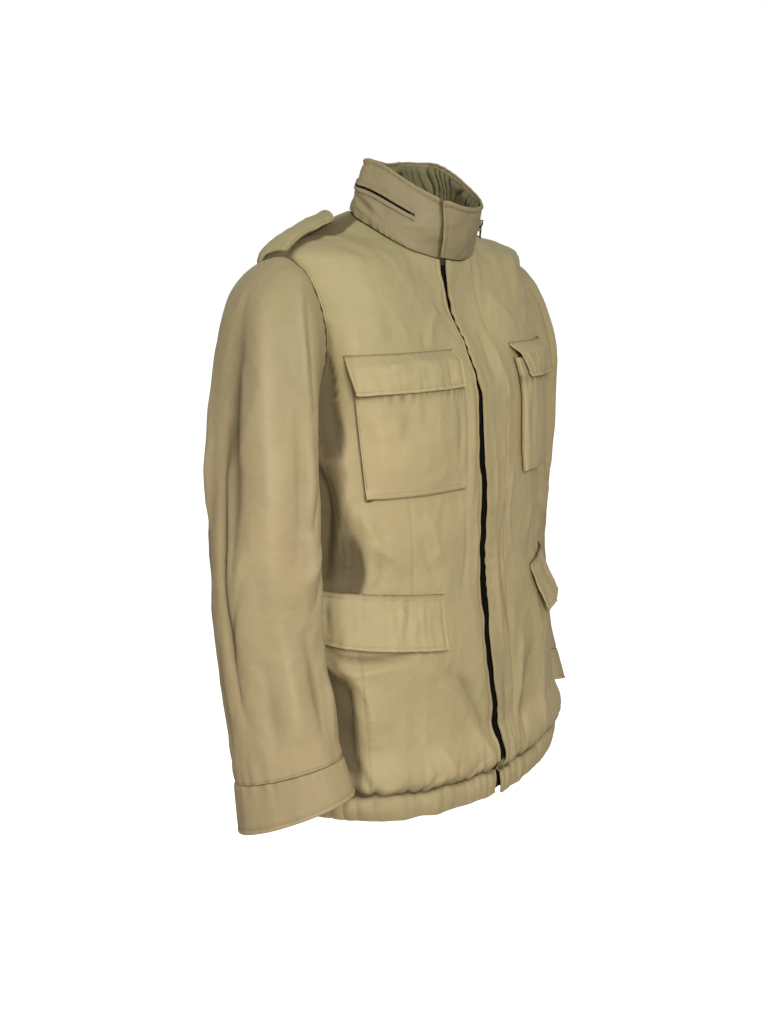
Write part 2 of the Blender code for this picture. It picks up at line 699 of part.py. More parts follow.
# Pockets and flaps lie on the fronts. Each has four corners, by turn and height.
Patch = namedtuple("Patch", "top_in top_out foot_in foot_out")
Corner = namedtuple("Corner", "turn height")
RIGHT_CHEST_POCKET = Patch(
    Corner(24.5, -0.192), Corner(69.0, -0.192), Corner(23.5, -0.346), Corner(65.0, -0.347)
)
LEFT_CHEST_POCKET = Patch(
    Corner(30.5, -0.192), Corner(71.0, -0.192), Corner(32.5, -0.345), Corner(68.0, -0.347)
)
RIGHT_CHEST_FLAP = Patch(
    Corner(26.0, -0.172), Corner(71.5, -0.172), Corner(27.5, -0.219), Corner(68.0, -0.219)
)
LEFT_CHEST_FLAP = Patch(
    Corner(30.5, -0.172), Corner(72.5, -0.172), Corner(33.5, -0.219), Corner(71.0, -0.219)
)
RIGHT_LOWER_FLAP = Patch(
    Corner(36.0, -0.476), Corner(79.0, -0.457), Corner(38.0, -0.544), Corner(77.5, -0.524)
)
LEFT_LOWER_FLAP = Patch(
    Corner(39.0, -0.476), Corner(80.0, -0.457), Corner(40.5, -0.544), Corner(79.0, -0.524)
)
PATCH_GAP = 0.0012  # under a pocket or flap, whose facets span those of the front
POCKET_PUFF = 0.004
Stands = namedtuple("Stands", "over edge corner")
# How far a flap passes over what lies under it, and how far its free edge and its
# outer corner then stand off.
CHEST_STANDS = Stands(0.0105, 0.004, 0.005)
LOWER_STANDS = Stands(0.002, 0.008, -0.005)


def patch_grid(patch, columns, rows, side):
    """Turns, levels and the shares in from the edge and down from the top of a patch."""
    inward = np.linspace(0, 1, columns + 1)[None]
    down = np.linspace(1, 0, rows + 1)[:, None]
    top = np.array(patch.top_in) * (1 - inward[..., None]) + np.array(patch.top_out) * inward[..., None]
    foot = np.array(patch.foot_in) * (1 - inward[..., None]) + np.array(patch.foot_out) * inward[..., None]
    grid = top * (1 - down[..., None]) + foot * down[..., None]
    turn, height = grid[..., 0], grid[..., 1]
    inward = np.broadcast_to(inward, turn.shape)
    down = np.broadcast_to(down, turn.shape)
    if side < 0:
        turn, height, inward, down = -turn[:, ::-1], height[:, ::-1], inward[:, ::-1], down[:, ::-1]
    return turn, level_at(turn, height), inward, down


def lay(name, turn, level, out, thickness, look=CLOTH):
    """A wall on the body, its inner face this far out."""
    wall(name, body_point(turn, level, out + thickness), body_point(turn, level, out), look)


def make_pockets():
    for name, patch, side in (
        ("right_chest_pocket", RIGHT_CHEST_POCKET, -1),
        ("left_chest_pocket", LEFT_CHEST_POCKET, 1),
    ):
        turn, level, across, down = patch_grid(patch, 7, 7, side)
        puff = POCKET_PUFF * ramp(np.minimum(across, 1 - across), 0, 0.2) * ramp(1 - down, 0, 0.25)
        lay(name, turn, level, PATCH_GAP + 0 * turn, POCKET_WALL + puff)


def make_flaps():
    for name, patch, side, set_of in (
        ("right_chest_flap", RIGHT_CHEST_FLAP, -1, CHEST_STANDS),
        ("left_chest_flap", LEFT_CHEST_FLAP, 1, CHEST_STANDS),
        ("right_lower_flap", RIGHT_LOWER_FLAP, -1, LOWER_STANDS),
        ("left_lower_flap", LEFT_LOWER_FLAP, 1, LOWER_STANDS),
    ):
        turn, level, across, down = patch_grid(patch, 8, 4, side)
        stand = set_of.edge + set_of.corner * ramp(across, 0.6, 1.0)
        out = PATCH_GAP + set_of.over * ramp(down, 0.0, 0.4) + stand * down**2
        lay(name, turn, level, out, FLAP_WALL)


# The shoulder straps are sewn into the sleeve seams and arch up to the neck.
STRAP_OUTER, STRAP_INNER = 0.2285, 0.124
STRAP_MIDDLE_Y = 0.018
STRAP_HALF_OUTER, STRAP_HALF_INNER = 0.024, 0.020
STRAP_STAND = 0.003
STRAP_ARCH = 0.010
STRAP_TIP = 0.012


def make_straps():
    across = np.linspace(-1, 1, 7)[None]
    share = np.linspace(0, 1, 7)[:, None]
    half = STRAP_HALF_OUTER + (STRAP_HALF_INNER - STRAP_HALF_OUTER) * share
    y = STRAP_MIDDLE_Y + across * half
    x = STRAP_OUTER + (STRAP_INNER - STRAP_OUTER) * share
    x = x + STRAP_TIP * across**2 * ramp(share, 0.6, 1.0)
    turn, level = shoulder_at(x, y)
    out = STRAP_STAND + STRAP_ARCH * (1 - across**2) + 0 * share
    outer, inner = body_point(turn, level, out + FLAP_WALL), body_point(turn, level, out)
    wall("left_shoulder_strap", outer, inner, CLOTH)
    flip = np.array([-1.0, 1.0, 1.0])
    wall("right_shoulder_strap", outer[:, ::-1] * flip, inner[:, ::-1] * flip, CLOTH)


# The front zip's tape lies behind both fronts' edges.
FRONT_TAPE_HALF = 0.017
FRONT_TAPE_WALL = 0.0012
FRONT_TAPE_TOP = -0.002


def make_front_zip():
    level = np.linspace(HEM_BOTTOM + 0.004, FRONT_TAPE_TOP, 24)[:, None]
    x = left_edge_x(level) + np.array([[-FRONT_TAPE_HALF, 0.0, FRONT_TAPE_HALF]])
    level = level + 0 * x
    out = -HEM_WALL - GAP - FRONT_TAPE_WALL + 0 * x
    lay("front_zip_tape", turn_at(x, level), level, out, FRONT_TAPE_WALL, TAPE)


def main():
    clear_object_scene()
    make_fronts()
    make_back()
    make_sides()
    make_hem()
    make_sleeves()
    make_collar()
    make_collar_zip()
    make_slider()
    make_pull()
    make_pockets()
    make_flaps()
    make_straps()
    make_front_zip()


main()
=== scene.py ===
"""A field-style safari jacket, filled out as worn but with no wearer.

Metres, +Z up. The jacket faces -Y, and the wearer's right is -X. Every cut piece of cloth
is a grid of points on its outer face, creased along listed paths, that is then given its thickness.
The body's cloth is read by a turn round the body (degrees from centre front, the wearer's
left positive) and a level (the height of that ring at the side seam).
"""

import math
from collections import namedtuple

import bpy
import numpy as np
from mathutils import Matrix, Vector, noise


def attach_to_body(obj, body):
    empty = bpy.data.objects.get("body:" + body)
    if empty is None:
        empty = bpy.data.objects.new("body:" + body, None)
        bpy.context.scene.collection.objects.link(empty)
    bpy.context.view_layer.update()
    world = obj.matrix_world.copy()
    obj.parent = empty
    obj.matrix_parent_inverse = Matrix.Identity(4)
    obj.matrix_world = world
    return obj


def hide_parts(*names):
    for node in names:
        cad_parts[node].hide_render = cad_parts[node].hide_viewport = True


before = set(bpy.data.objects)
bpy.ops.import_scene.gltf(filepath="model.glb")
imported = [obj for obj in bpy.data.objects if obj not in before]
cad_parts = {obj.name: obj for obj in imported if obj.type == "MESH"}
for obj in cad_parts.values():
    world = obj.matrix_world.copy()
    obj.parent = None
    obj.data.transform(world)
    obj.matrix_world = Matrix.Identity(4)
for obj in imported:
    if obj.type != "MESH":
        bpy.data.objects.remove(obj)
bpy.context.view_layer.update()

# ---------------------------------------------------------------- the jacket's form

WALL = 0.003  # the cloth with its thin padding
GAP = 0.0004
SEAM_GAP = 0.00015
HEM_TOP = -0.711
HEM_BOTTOM = -0.745
SHOULDER_TIP = -0.058
ARMPIT = -0.250
DEGREE = 0.0034  # one degree of turn, along the body
UP = np.array([0.0, 0.0, 1.0])
OTHER_SIDE = np.array([-1.0, 1.0, 1.0])  # takes the wearer's left over to the right

Edge = namedtuple("Edge", "level x gape")
# Where the left front's edge lies at each level, and how far the right front stays from it.
CLOSURE = (
    Edge(-0.770, -0.0100, 0.0040),
    Edge(-0.600, -0.0110, 0.0052),
    Edge(-0.400, -0.0130, 0.0062),
    Edge(-0.250, -0.0180, 0.0055),
    Edge(-0.150, -0.0230, 0.0026),
    Edge(-0.055, -0.0265, 0.0018),
    Edge(-0.024, -0.0258, 0.0072),
    Edge(0.000, -0.0240, 0.0095),
)
PLACKET_LIFT = 0.0045
PLACKET_REACH = 0.045

Ring = namedtuple(
    "Ring", "side front back half_width front_depth back_depth front_power back_power"
)
# Rings round the body, from the neck down: their height at the side, centre front and
# centre back, their half width and depths, and how square their front and back are.
BODY = (
    Ring(0.000, -0.0645, -0.006, 0.089, 0.088, 0.045, 2.8, 2.0),
    Ring(-0.014, -0.082, -0.022, 0.126, 0.091, 0.078, 2.4, 2.0),
    Ring(-0.030, -0.104, -0.048, 0.180, 0.094, 0.096, 2.2, 2.1),
    Ring(-0.046, -0.128, -0.076, 0.222, 0.098, 0.107, 2.3, 2.2),
    Ring(-0.080, -0.152, -0.104, 0.237, 0.109, 0.115, 2.4, 2.3),
    Ring(-0.130, -0.180, -0.140, 0.237, 0.124, 0.121, 2.5, 2.3),
    Ring(-0.180, -0.208, -0.184, 0.235, 0.136, 0.126, 2.6, 2.3),
    Ring(-0.230, -0.236, -0.231, 0.234, 0.142, 0.128, 2.6, 2.3),
    Ring(-0.290, -0.290, -0.290, 0.234, 0.144, 0.127, 2.6, 2.3),
    Ring(-0.370, -0.370, -0.370, 0.234, 0.145, 0.123, 2.6, 2.3),
    Ring(-0.447, -0.447, -0.447, 0.235, 0.146, 0.120, 2.6, 2.3),
    Ring(-0.520, -0.520, -0.520, 0.241, 0.154, 0.123, 2.7, 2.3),
    Ring(-0.610, -0.612, -0.611, 0.250, 0.162, 0.130, 2.8, 2.3),
    Ring(-0.685, -0.696, -0.688, 0.255, 0.168, 0.133, 2.8, 2.3),
    Ring(-0.711, -0.727, -0.716, 0.256, 0.171, 0.134, 2.8, 2.3),
    Ring(-0.728, -0.745, -0.733, 0.256, 0.172, 0.134, 2.8, 2.3),
    Ring(-0.745, -0.763, -0.750, 0.251, 0.171, 0.131, 2.8, 2.3),
)

SleeveRing = namedtuple(
    "SleeveRing", "outer_x outer_z inner_x inner_z middle_y front_depth back_depth rise turn_in"
)
# Rings down a sleeve: their outermost and innermost points seen from the front, their
# middle and depths before and behind it, and how far they are lifted and turned in.
SLEEVE = (
    SleeveRing(0.250, -0.060, 0.243, -0.262, 0.003, 0.064, 0.072, 0.000, 0),
    SleeveRing(0.273, -0.074, 0.246, -0.284, 0.003, 0.073, 0.078, 0.000, 3),
    SleeveRing(0.296, -0.110, 0.247, -0.310, 0.002, 0.079, 0.079, 0.000, 8),
    SleeveRing(0.316, -0.185, 0.247, -0.345, 0.001, 0.080, 0.078, 0.000, 14),
    SleeveRing(0.331, -0.280, 0.247, -0.395, 0.000, 0.079, 0.075, 0.001, 18),
    SleeveRing(0.340, -0.370, 0.247, -0.450, 0.000, 0.077, 0.071, 0.002, 20),
    SleeveRing(0.346, -0.450, 0.248, -0.500, -0.003, 0.073, 0.067, 0.004, 23),
    SleeveRing(0.348, -0.520, 0.252, -0.545, -0.010, 0.069, 0.063, 0.007, 26),
    SleeveRing(0.350, -0.590, 0.258, -0.595, -0.022, 0.067, 0.062, 0.011, 29),
    SleeveRing(0.352, -0.640, 0.264, -0.635, -0.033, 0.067, 0.063, 0.014, 31),
    SleeveRing(0.353, -0.668, 0.268, -0.658, -0.041, 0.068, 0.065, 0.016, 32),
)
CUFF = (
    SleeveRing(0.354, -0.669, 0.267, -0.659, -0.041, 0.069, 0.066, 0.016, 32),
    SleeveRing(0.356, -0.695, 0.267, -0.682, -0.048, 0.071, 0.069, 0.019, 33),
    SleeveRing(0.358, -0.722, 0.267, -0.706, -0.055, 0.073, 0.072, 0.022, 34),
)
Swing = namedtuple("Swing", "ahead out")
RIGHT_ARM = Swing(0.020, 0.004)
LEFT_ARM = Swing(-0.018, -0.006)
SWING_START, SWING_END = 0.16, 0.72


def between(keys, values, where):
    """Values read smoothly between rows, by a cubic with its slopes from the rows round it."""
    keys = np.asarray(keys, float)
    values = np.asarray(values, float)
    slopes = np.gradient(values, keys, axis=0)
    where = np.clip(where, keys[0], keys[-1])
    row = np.clip(np.searchsorted(keys, where) - 1, 0, len(keys) - 2)
    step = keys[row + 1] - keys[row]
    t = (where - keys[row]) / step
    if values.ndim > 1:
        spread = (...,) + (None,) * (values.ndim - 1)
        step, t = step[spread], t[spread]
    return (
        values[row] * (1 + 2 * t) * (1 - t) ** 2
        + slopes[row] * step * t * (1 - t) ** 2
        + values[row + 1] * t * t * (3 - 2 * t)
        + slopes[row + 1] * step * t * t * (t - 1)
    )


def ramp(value, start, end):
    """0 before start, 1 after end and smooth between them."""
    t = np.clip((value - start) / (end - start), 0.0, 1.0)
    return t * t * (3 - 2 * t)


def bell(away, width):
    """1 at nothing away, fading evenly on both sides."""
    return np.exp(-((away / width) ** 2))


def unit(ways):
    """The same ways with a length of one."""
    return ways / np.maximum(np.linalg.norm(ways, axis=-1, keepdims=True), 1e-12)


# Near the neck the front falls away from the shoulders in a straighter line than below.
NECK_EASE = 0.15
NECK_DIP = 0.014
NECK_REACH = 0.058

COLUMNS = Ring(*np.array(BODY[::-1]).T)  # from the hem up, a column for each measure
LEVELS = COLUMNS.side


def signed(turn):
    """The same turn, from -180 to 180."""
    return (np.asarray(turn, float) + 180) % 360 - 180


def outward(turn):
    """The level way out from the middle at this turn."""
    angle = np.radians(turn)
    return np.stack([np.sin(angle), -np.cos(angle), 0 * angle], axis=-1)


def loop_reach(across, ahead, ring):
    """How far out a ring lies: an oval with squared corners, its front and back apart."""
    power = np.where(ahead > 0, ring.front_power, ring.back_power)
    depth = np.where(ahead > 0, ring.front_depth, ring.back_depth)
    wide = np.abs(across / ring.half_width) ** power
    return (wide + np.abs(ahead / depth) ** power) ** (-1 / power)


def ring_point(turn, level):
    """The body's smooth form, before any crease or lift."""
    angle = np.radians(turn)
    across, ahead = np.sin(angle), np.cos(angle)
    side_drop = np.interp(level, LEVELS, COLUMNS.side)
    ring = Ring(side_drop, *[between(LEVELS, column, level) for column in COLUMNS[1:]])
    reach = loop_reach(across, ahead, ring)
    end_drop = np.where(ahead > 0, ring.front, ring.back)
    at_neck = 1 - ramp(-level, 0.0, NECK_REACH)
    full_ease = math.sqrt(1 + NECK_EASE**2) - NECK_EASE
    straight = (np.sqrt(ahead**2 + NECK_EASE**2) - NECK_EASE) / full_ease
    fall = ahead**2 + np.where(ahead > 0, at_neck, 0.0) * (straight - ahead**2)
    dip = NECK_DIP * at_neck * ramp(ahead, -0.35, 0.10) * across**2
    height = side_drop + (end_drop - side_drop) * fall - dip
    return np.stack([reach * across, -reach * ahead, height], axis=-1)


def face_out(turn, level):
    """The body's outward normals."""
    turn_step, level_step = 0.2, 0.001
    along = ring_point(turn + turn_step, level) - ring_point(turn - turn_step, level)
    up = ring_point(turn, np.minimum(level + level_step, 0)) - ring_point(turn, level - level_step)
    return unit(np.cross(along, up))


Swell = namedtuple("Swell", "turn level end_turn end_level width rise")
# Broad swells and hollows of the filled body, each along a line on it, for both sides.
SWELLS = (
    Swell(68, -0.545, 44, -0.555, 0.034, 0.007),
    Swell(80, -0.570, 68, -0.650, 0.022, -0.004),
    Swell(66, -0.620, 62, -0.715, 0.024, 0.005),
    Swell(105, -0.300, 150, -0.430, 0.030, 0.004),
    Swell(130, -0.240, 170, -0.330, 0.028, -0.004),
)


def swelling(turn, level):
    """How far the swells and hollows stand out here."""
    round_body = np.abs(signed(turn))
    total = 0.0 * turn
    for swell in SWELLS:
        start = np.array([swell.turn * DEGREE, swell.level])
        line = np.array([swell.end_turn * DEGREE, swell.end_level]) - start
        offset = np.stack([round_body * DEGREE, level], axis=-1) - start
        along = np.clip((offset @ line) / (line @ line), 0, 1)
        away = np.linalg.norm(offset - along[..., None] * line, axis=-1)
        total = total + swell.rise * bell(away, swell.width)
    return total


def solve(target, value_at, low, high):
    """Where a rising function of one number reaches its target, by halving."""
    target = np.asarray(target, float)
    low, high = np.full(target.shape, low), np.full(target.shape, high)
    for _ in range(30):
        middle = (low + high) / 2
        over = value_at(middle) > target
        high = np.where(over, middle, high)
        low = np.where(over, low, middle)
    return (low + high) / 2


def turn_at(x, level):
    """The turn, on the front, at which the body lies this far from the middle."""
    x, level = np.broadcast_arrays(np.asarray(x, float), level)
    return solve(x, lambda turn: ring_point(turn, level)[..., 0], -89.0, 89.0)


def level_at(turn, height):
    """The level of the ring that is this high at this turn."""
    turn, height = np.broadcast_arrays(np.asarray(turn, float), height)
    return solve(height, lambda level: ring_point(turn, level)[..., 2], HEM_BOTTOM, 0.0)


SHOULDER_FOOT = -0.075  # no strap lies below this level


def shoulder_at(x, y):
    """Turn and level of the shoulder's top over this place."""
    turn = np.degrees(np.arctan2(x, -y))

    def inwards(level):
        return -np.linalg.norm(ring_point(turn, level)[..., :2], axis=-1)

    return turn, solve(-np.hypot(x, y), inwards, SHOULDER_FOOT, 0.0)


CLOSURE_LEVELS = [edge.level for edge in CLOSURE]


def left_edge_x(level):
    """Where the left front's edge lies, and waves a little."""
    wave = 0.0010 * np.sin(level / 0.021) + 0.0008 * np.sin(level / 0.0093 + 1.0)
    return between(CLOSURE_LEVELS, [edge.x for edge in CLOSURE], level) + wave


def right_edge_x(level):
    """Where the right front's edge lies: near below the neck, and looser down the front."""
    gape = between(CLOSURE_LEVELS, [edge.gape for edge in CLOSURE], level)
    wave = np.sin(level / 0.014 + 2.0) + 0.7 * np.sin(level / 0.0061)
    looser = 1.0 - 0.6 * ramp(-level, 0.015, 0.040) + 0.9 * ramp(-level, 0.12, 0.30)
    return left_edge_x(level) - looser * gape + 0.22 * np.minimum(gape, 0.005) * wave


def placket_lift(turn, level):
    """How far the left front stands out to pass over the right one."""
    past = ring_point(turn, level)[..., 0] - left_edge_x(level)
    return PLACKET_LIFT * (1 - ramp(past, 0.0, PLACKET_REACH))


# The armhole is a loop on the body, read by an angle from the shoulder tip: 90 is its
# front edge, 180 the armpit and 270 its back edge.
ARM_TURN = 90.0
ARM_FRONT = 13.5
ARM_BACK = 17.0
ARM_MIDDLE = (SHOULDER_TIP + ARMPIT) / 2
ARM_HALF = (SHOULDER_TIP - ARMPIT) / 2
FRONT_SEAM_ANGLE = 140.0
BACK_SEAM_ANGLE = 225.0
SEAM_FOOT_TURN = 63.0
BACK_SEAM_FOOT_TURN = 112.0
SEAM_BEND = 1.6


def armhole(angle):
    """Turn and level, for the wearer's left, at this angle round the armhole."""
    angle = np.radians(angle)
    reach = np.where(np.sin(angle) > 0, ARM_FRONT, ARM_BACK)
    return ARM_TURN - reach * np.sin(angle), ARM_MIDDLE + ARM_HALF * np.cos(angle)


def seam_turn(level, angle, foot_turn):
    """A panel seam: straight up from the hem, then bending to meet the armhole."""
    top_turn, top_level = armhole(angle)
    share = np.clip((level - HEM_TOP) / (top_level - HEM_TOP), 0, 1)
    return foot_turn + (top_turn - foot_turn) * share**SEAM_BEND


def panel_turn(level, angle, foot_turn, reach):
    """The turn of a front's or back's outer edge: its seam, the armhole, the shoulder seam."""
    high = np.clip((level - ARM_MIDDLE) / ARM_HALF, -1, 1)
    round_arm = ARM_TURN - reach * np.sqrt(1 - high**2)
    low = seam_turn(level, angle, foot_turn)
    return np.where(level < armhole(angle)[1], low, round_arm)


# ---------------------------------------------------------------- creases

# A ridge or a trough: its path on the cloth, its width, how far it rises or sinks, and how
# much steeper it is on one side.
Crease = namedtuple("Crease", "path width rise lean", defaults=(0.0,))


def creases(*rows):
    return tuple(Crease(*row) for row in rows)


PATH_STEPS = 7
CREST = 0.22  # how round a crease is along its crest, as a share of its width
CREASE_FALL = 1.6  # how soon it fades to its sides
CREASE_TAPER = 0.7  # how soon it fades to its ends
CREASE_MARGIN = 3.2  # how many widths off its path it still counts


def smooth_path(path):
    """Points along a curve that passes through each point of the path."""
    points = np.array(path, float)
    if len(points) < 3:
        return points
    keys = np.arange(len(points), dtype=float)
    return between(keys, points, np.linspace(0, keys[-1], PATH_STEPS * (len(points) - 1) + 1))


def creased(folds, across, along, scale, period=0.0):
    """How far creases lift the cloth: a ridge or a trough along each path, fading at its ends.

    A crease that leans is steep on one side and soft on the other.
    """
    across, along = np.broadcast_arrays(np.asarray(across, float), along)
    place = np.stack([across * scale, along], axis=-1)
    total = np.zeros(place.shape[:-1])
    shifts = (-period, 0.0, period) if period else (0.0,)
    for crease in folds:
        for shift in shifts:
            line = smooth_path(crease.path)
            line = np.stack([(line[:, 0] + shift) * scale, line[:, 1]], axis=-1)
            margin = CREASE_MARGIN * crease.width
            near = np.all((place > line.min(0) - margin) & (place < line.max(0) + margin), axis=-1)
            if not near.any():
                continue
            start, step = line[:-1], np.diff(line, axis=0)
            reach = (step**2).sum(-1)
            offset = place[near][:, None] - start
            t = np.clip((offset * step).sum(-1) / reach, 0, 1)
            away = offset - t[..., None] * step
            distance = np.linalg.norm(away, axis=-1)
            pick = distance.argmin(axis=1)
            rows = np.arange(len(pick))
            side = step[pick, 0] * away[rows, pick, 1] - step[pick, 1] * away[rows, pick, 0]
            run = np.sqrt(reach)
            gone = (np.cumsum(run) - run)[pick] + t[rows, pick] * run[pick]
            taper = np.sin(np.pi * np.clip(gone / run.sum(), 0, 1)) ** CREASE_TAPER
            width = crease.width * (1 + crease.lean * np.sign(side))
            spread = np.sqrt((distance[rows, pick] / width) ** 2 + CREST**2) - CREST
            total[near] += crease.rise * taper * np.exp(-CREASE_FALL * spread)
    return total


def waves(points, size, rise):
    """Gentle uneven waves, longer one way than another."""
    flat = (points / np.array(size)).reshape(-1, 3).tolist()
    return rise * np.array([noise.noise(at) for at in flat]).reshape(points.shape[:-1])


EVEN_WAVE = (0.030, 0.030, 0.030)
CRUMPLE_SHIFT = np.array([0.31, 0.17, 0.53])  # keeps its folds off those of the waves


def crumple(points, size, rise):
    """Soft folds with crests sharper than the hollows between them, and none in places."""
    here = (points + CRUMPLE_SHIFT) / np.array(size)
    bend = 0.35 * waves(here, (1.7, 1.7, 1.7), 1.0)
    crest = 1 - 2.2 * np.abs(waves(here + bend[..., None], 1.0, 1.0))
    return rise * crest * (0.55 + waves(here, (2.6, 2.6, 2.6), 1.1))


def mirrored(folds, turn_shift, level_shift, strength):
    """The same creases on the other side, moved and weakened a little."""
    return tuple(
        crease._replace(
            path=tuple((-turn + turn_shift, level + level_shift) for turn, level in crease.path),
            rise=crease.rise * strength,
            lean=-crease.lean,
        )
        for crease in folds
    )


# On the body, by turn and level.
ARMHOLE_CREASES = creases(
    (((-77, -0.125), (-75, -0.187), (-72, -0.300)), 0.013, -0.0048, -0.6),
    (((-70, -0.120), (-68, -0.190), (-66.5, -0.260)), 0.012, 0.0022),
    (((-80, -0.300), (-76, -0.350), (-77, -0.450)), 0.015, -0.0062, -0.5),
    (((-74, -0.262), (-71, -0.330), (-73, -0.420)), 0.009, 0.0028),
)
SIDE_CREASES = creases(
    (((-69.5, -0.345), (-67, -0.400), (-65.5, -0.466)), 0.013, -0.0036, -0.6),
    (((-69.5, -0.345), (-70, -0.400), (-70, -0.460)), 0.006, 0.0016),
    (((-67, -0.355), (-62, -0.392), (-57, -0.428)), 0.009, 0.0026, -0.3),
    (((-63, -0.372), (-60, -0.400), (-60.5, -0.440)), 0.008, -0.0022),
    (((-63, -0.398), (-57, -0.418), (-50, -0.444)), 0.008, 0.0024),
    (((-62, -0.415), (-60, -0.440), (-63, -0.468)), 0.006, -0.0018),
    (((-44, -0.372), (-40, -0.398), (-37, -0.440)), 0.010, 0.0018),
    (((-46, -0.395), (-43, -0.430), (-38, -0.462)), 0.008, -0.0016),
    (((-100, -0.300), (-90, -0.345), (-84, -0.420)), 0.014, 0.0030),
    (((-96, -0.350), (-90, -0.400), (-86, -0.470)), 0.012, -0.0035),
)
CHEST_CREASES = creases(
    (((-65, -0.118), (-60, -0.148)), 0.006, 0.0014),
    (((-56, -0.112), (-50, -0.137)), 0.006, 0.0013),
    (((-60, -0.112), (-55, -0.143)), 0.005, -0.0011),
    (((-44, -0.118), (-43, -0.148)), 0.006, -0.0010),
    (((-72, -0.075), (-62, -0.095), (-48, -0.098)), 0.016, 0.0016),
    (((-30, -0.060), (-38, -0.100), (-40, -0.140)), 0.014, 0.0018),
)
SKIRT_CREASES = creases(
    (((-80, -0.530), (-66, -0.543), (-48, -0.540)), 0.008, -0.0046, -0.3),
    (((-79, -0.548), (-68, -0.560), (-54, -0.554)), 0.008, 0.0026),
    (
        ((-78, -0.536), (-70, -0.566), (-67.5, -0.615), (-66.5, -0.660), (-61, -0.716)),
        0.019, -0.0066, -0.8,
    ),
    (((-74, -0.556), (-66.5, -0.572), (-63, -0.600), (-61, -0.655)), 0.012, 0.0036, 0.2),
    (((-84, -0.560), (-77, -0.620), (-74, -0.700)), 0.016, -0.0034),
    (((-88, -0.570), (-86, -0.640), (-82, -0.700)), 0.012, -0.0040),
    (((-60, -0.640), (-56, -0.668), (-52, -0.700)), 0.010, 0.0020),
    (((-36, -0.572), (-26, -0.592), (-15, -0.615)), 0.012, -0.0022),
    (((-40, -0.588), (-30, -0.612), (-20, -0.650)), 0.012, 0.0020),
    (((-27, -0.590), (-17, -0.632), (-7, -0.680)), 0.012, -0.0026),
    (((-24, -0.640), (-16, -0.672), (-9, -0.708)), 0.010, 0.0020),
    (((-40, -0.660), (-36, -0.688), (-33, -0.712)), 0.008, 0.0020),
    (((-46, -0.655), (-43, -0.685), (-41, -0.712)), 0.007, -0.0018),
    (((-57, -0.716), (-54, -0.703), (-52, -0.690)), 0.0045, -0.0018),
    (((-49, -0.717), (-44, -0.702), (-39, -0.692)), 0.0045, -0.0024),
    (((-38, -0.717), (-34, -0.700), (-32, -0.686)), 0.0045, -0.0022),
    (((-31, -0.716), (-24, -0.702), (-17, -0.693)), 0.0045, -0.0026),
    (((-64, -0.715), (-58, -0.704), (-53, -0.700)), 0.0060, 0.0018),
)
PLACKET_CREASES = creases(
    (((-16, -0.190), (-15, -0.270), (-14, -0.330)), 0.010, 0.0014),
    (((-20, -0.225), (-19, -0.290), (-21, -0.352)), 0.007, -0.0014),
    (((-14, -0.360), (-12, -0.430), (-13, -0.500)), 0.012, 0.0018),
    (((-22, -0.375), (-20, -0.430), (-24, -0.480)), 0.010, -0.0016),
)
LEFT_FRONT_CREASES = creases(
    (((11.3, -0.395), (11, -0.470), (16, -0.570)), 0.009, -0.0022),
    (((6, -0.420), (5, -0.500), (8, -0.580)), 0.009, 0.0018),
    (((4, -0.270), (5, -0.340), (3, -0.400)), 0.009, 0.0016),
    (((20, -0.100), (18, -0.180), (22, -0.250)), 0.014, 0.0022),
    (((12, -0.080), (9, -0.140), (11, -0.210)), 0.010, -0.0016),
    (((24, -0.330), (20, -0.390), (24, -0.450)), 0.010, 0.0018),
    (((26, -0.560), (18, -0.620), (9, -0.690)), 0.014, 0.0030),
    (((34, -0.580), (24, -0.630), (14, -0.705)), 0.012, -0.0030),
    (((6, -0.600), (3, -0.650), (1, -0.700)), 0.008, -0.0016),
    (((44, -0.560), (38, -0.640), (32, -0.700)), 0.014, 0.0030),
)
BACK_CREASES = creases(
    (((118, -0.100), (140, -0.150), (160, -0.230)), 0.022, 0.0034),
    (((242, -0.110), (222, -0.165), (203, -0.240)), 0.022, 0.0032),
    (((115, -0.215), (132, -0.250), (150, -0.300)), 0.016, -0.0036),
    (((246, -0.225), (231, -0.258), (214, -0.315)), 0.016, -0.0034),
    (((122, -0.330), (132, -0.430), (128, -0.560)), 0.024, 0.0042),
    (((238, -0.320), (229, -0.440), (233, -0.550)), 0.024, 0.0040),
    (((146, -0.360), (150, -0.460), (144, -0.590)), 0.020, -0.0040),
    (((215, -0.350), (209, -0.470), (216, -0.600)), 0.020, -0.0038),
    (((168, -0.300), (171, -0.420), (166, -0.540)), 0.022, 0.0030),
    (((194, -0.380), (189, -0.480), (193, -0.620)), 0.018, -0.0028),
    (((134, -0.600), (140, -0.650), (137, -0.706)), 0.014, 0.0030),
    (((176, -0.590), (181, -0.650), (178, -0.706)), 0.016, 0.0028),
    (((222, -0.610), (218, -0.655), (221, -0.706)), 0.013, 0.0030),
    (((160, -0.075), (180, -0.095), (200, -0.078)), 0.014, 0.0020),
)
BOTH_SIDES = ARMHOLE_CREASES + SIDE_CREASES + SKIRT_CREASES
SHARED = 20  # this many of them are on the left side too
BODY_CREASES = (
    BOTH_SIDES
    + mirrored(BOTH_SIDES[:SHARED], 1.5, -0.006, 0.85)
    + CHEST_CREASES
    + mirrored(CHEST_CREASES, 3.0, 0.004, 0.9)
    + PLACKET_CREASES
    + LEFT_FRONT_CREASES
    + BACK_CREASES
)
BODY_CREASES += tuple(
    crease._replace(path=tuple((turn - 360, level) for turn, level in crease.path))
    for crease in BACK_CREASES
)

CREASE_DEPTH = 1.9  # all of the body's creases are deepened by this


def run_along(points):
    """How far along a row of points each of them is."""
    return np.insert(np.cumsum(np.linalg.norm(np.diff(points, axis=0), axis=1)), 0, 0)


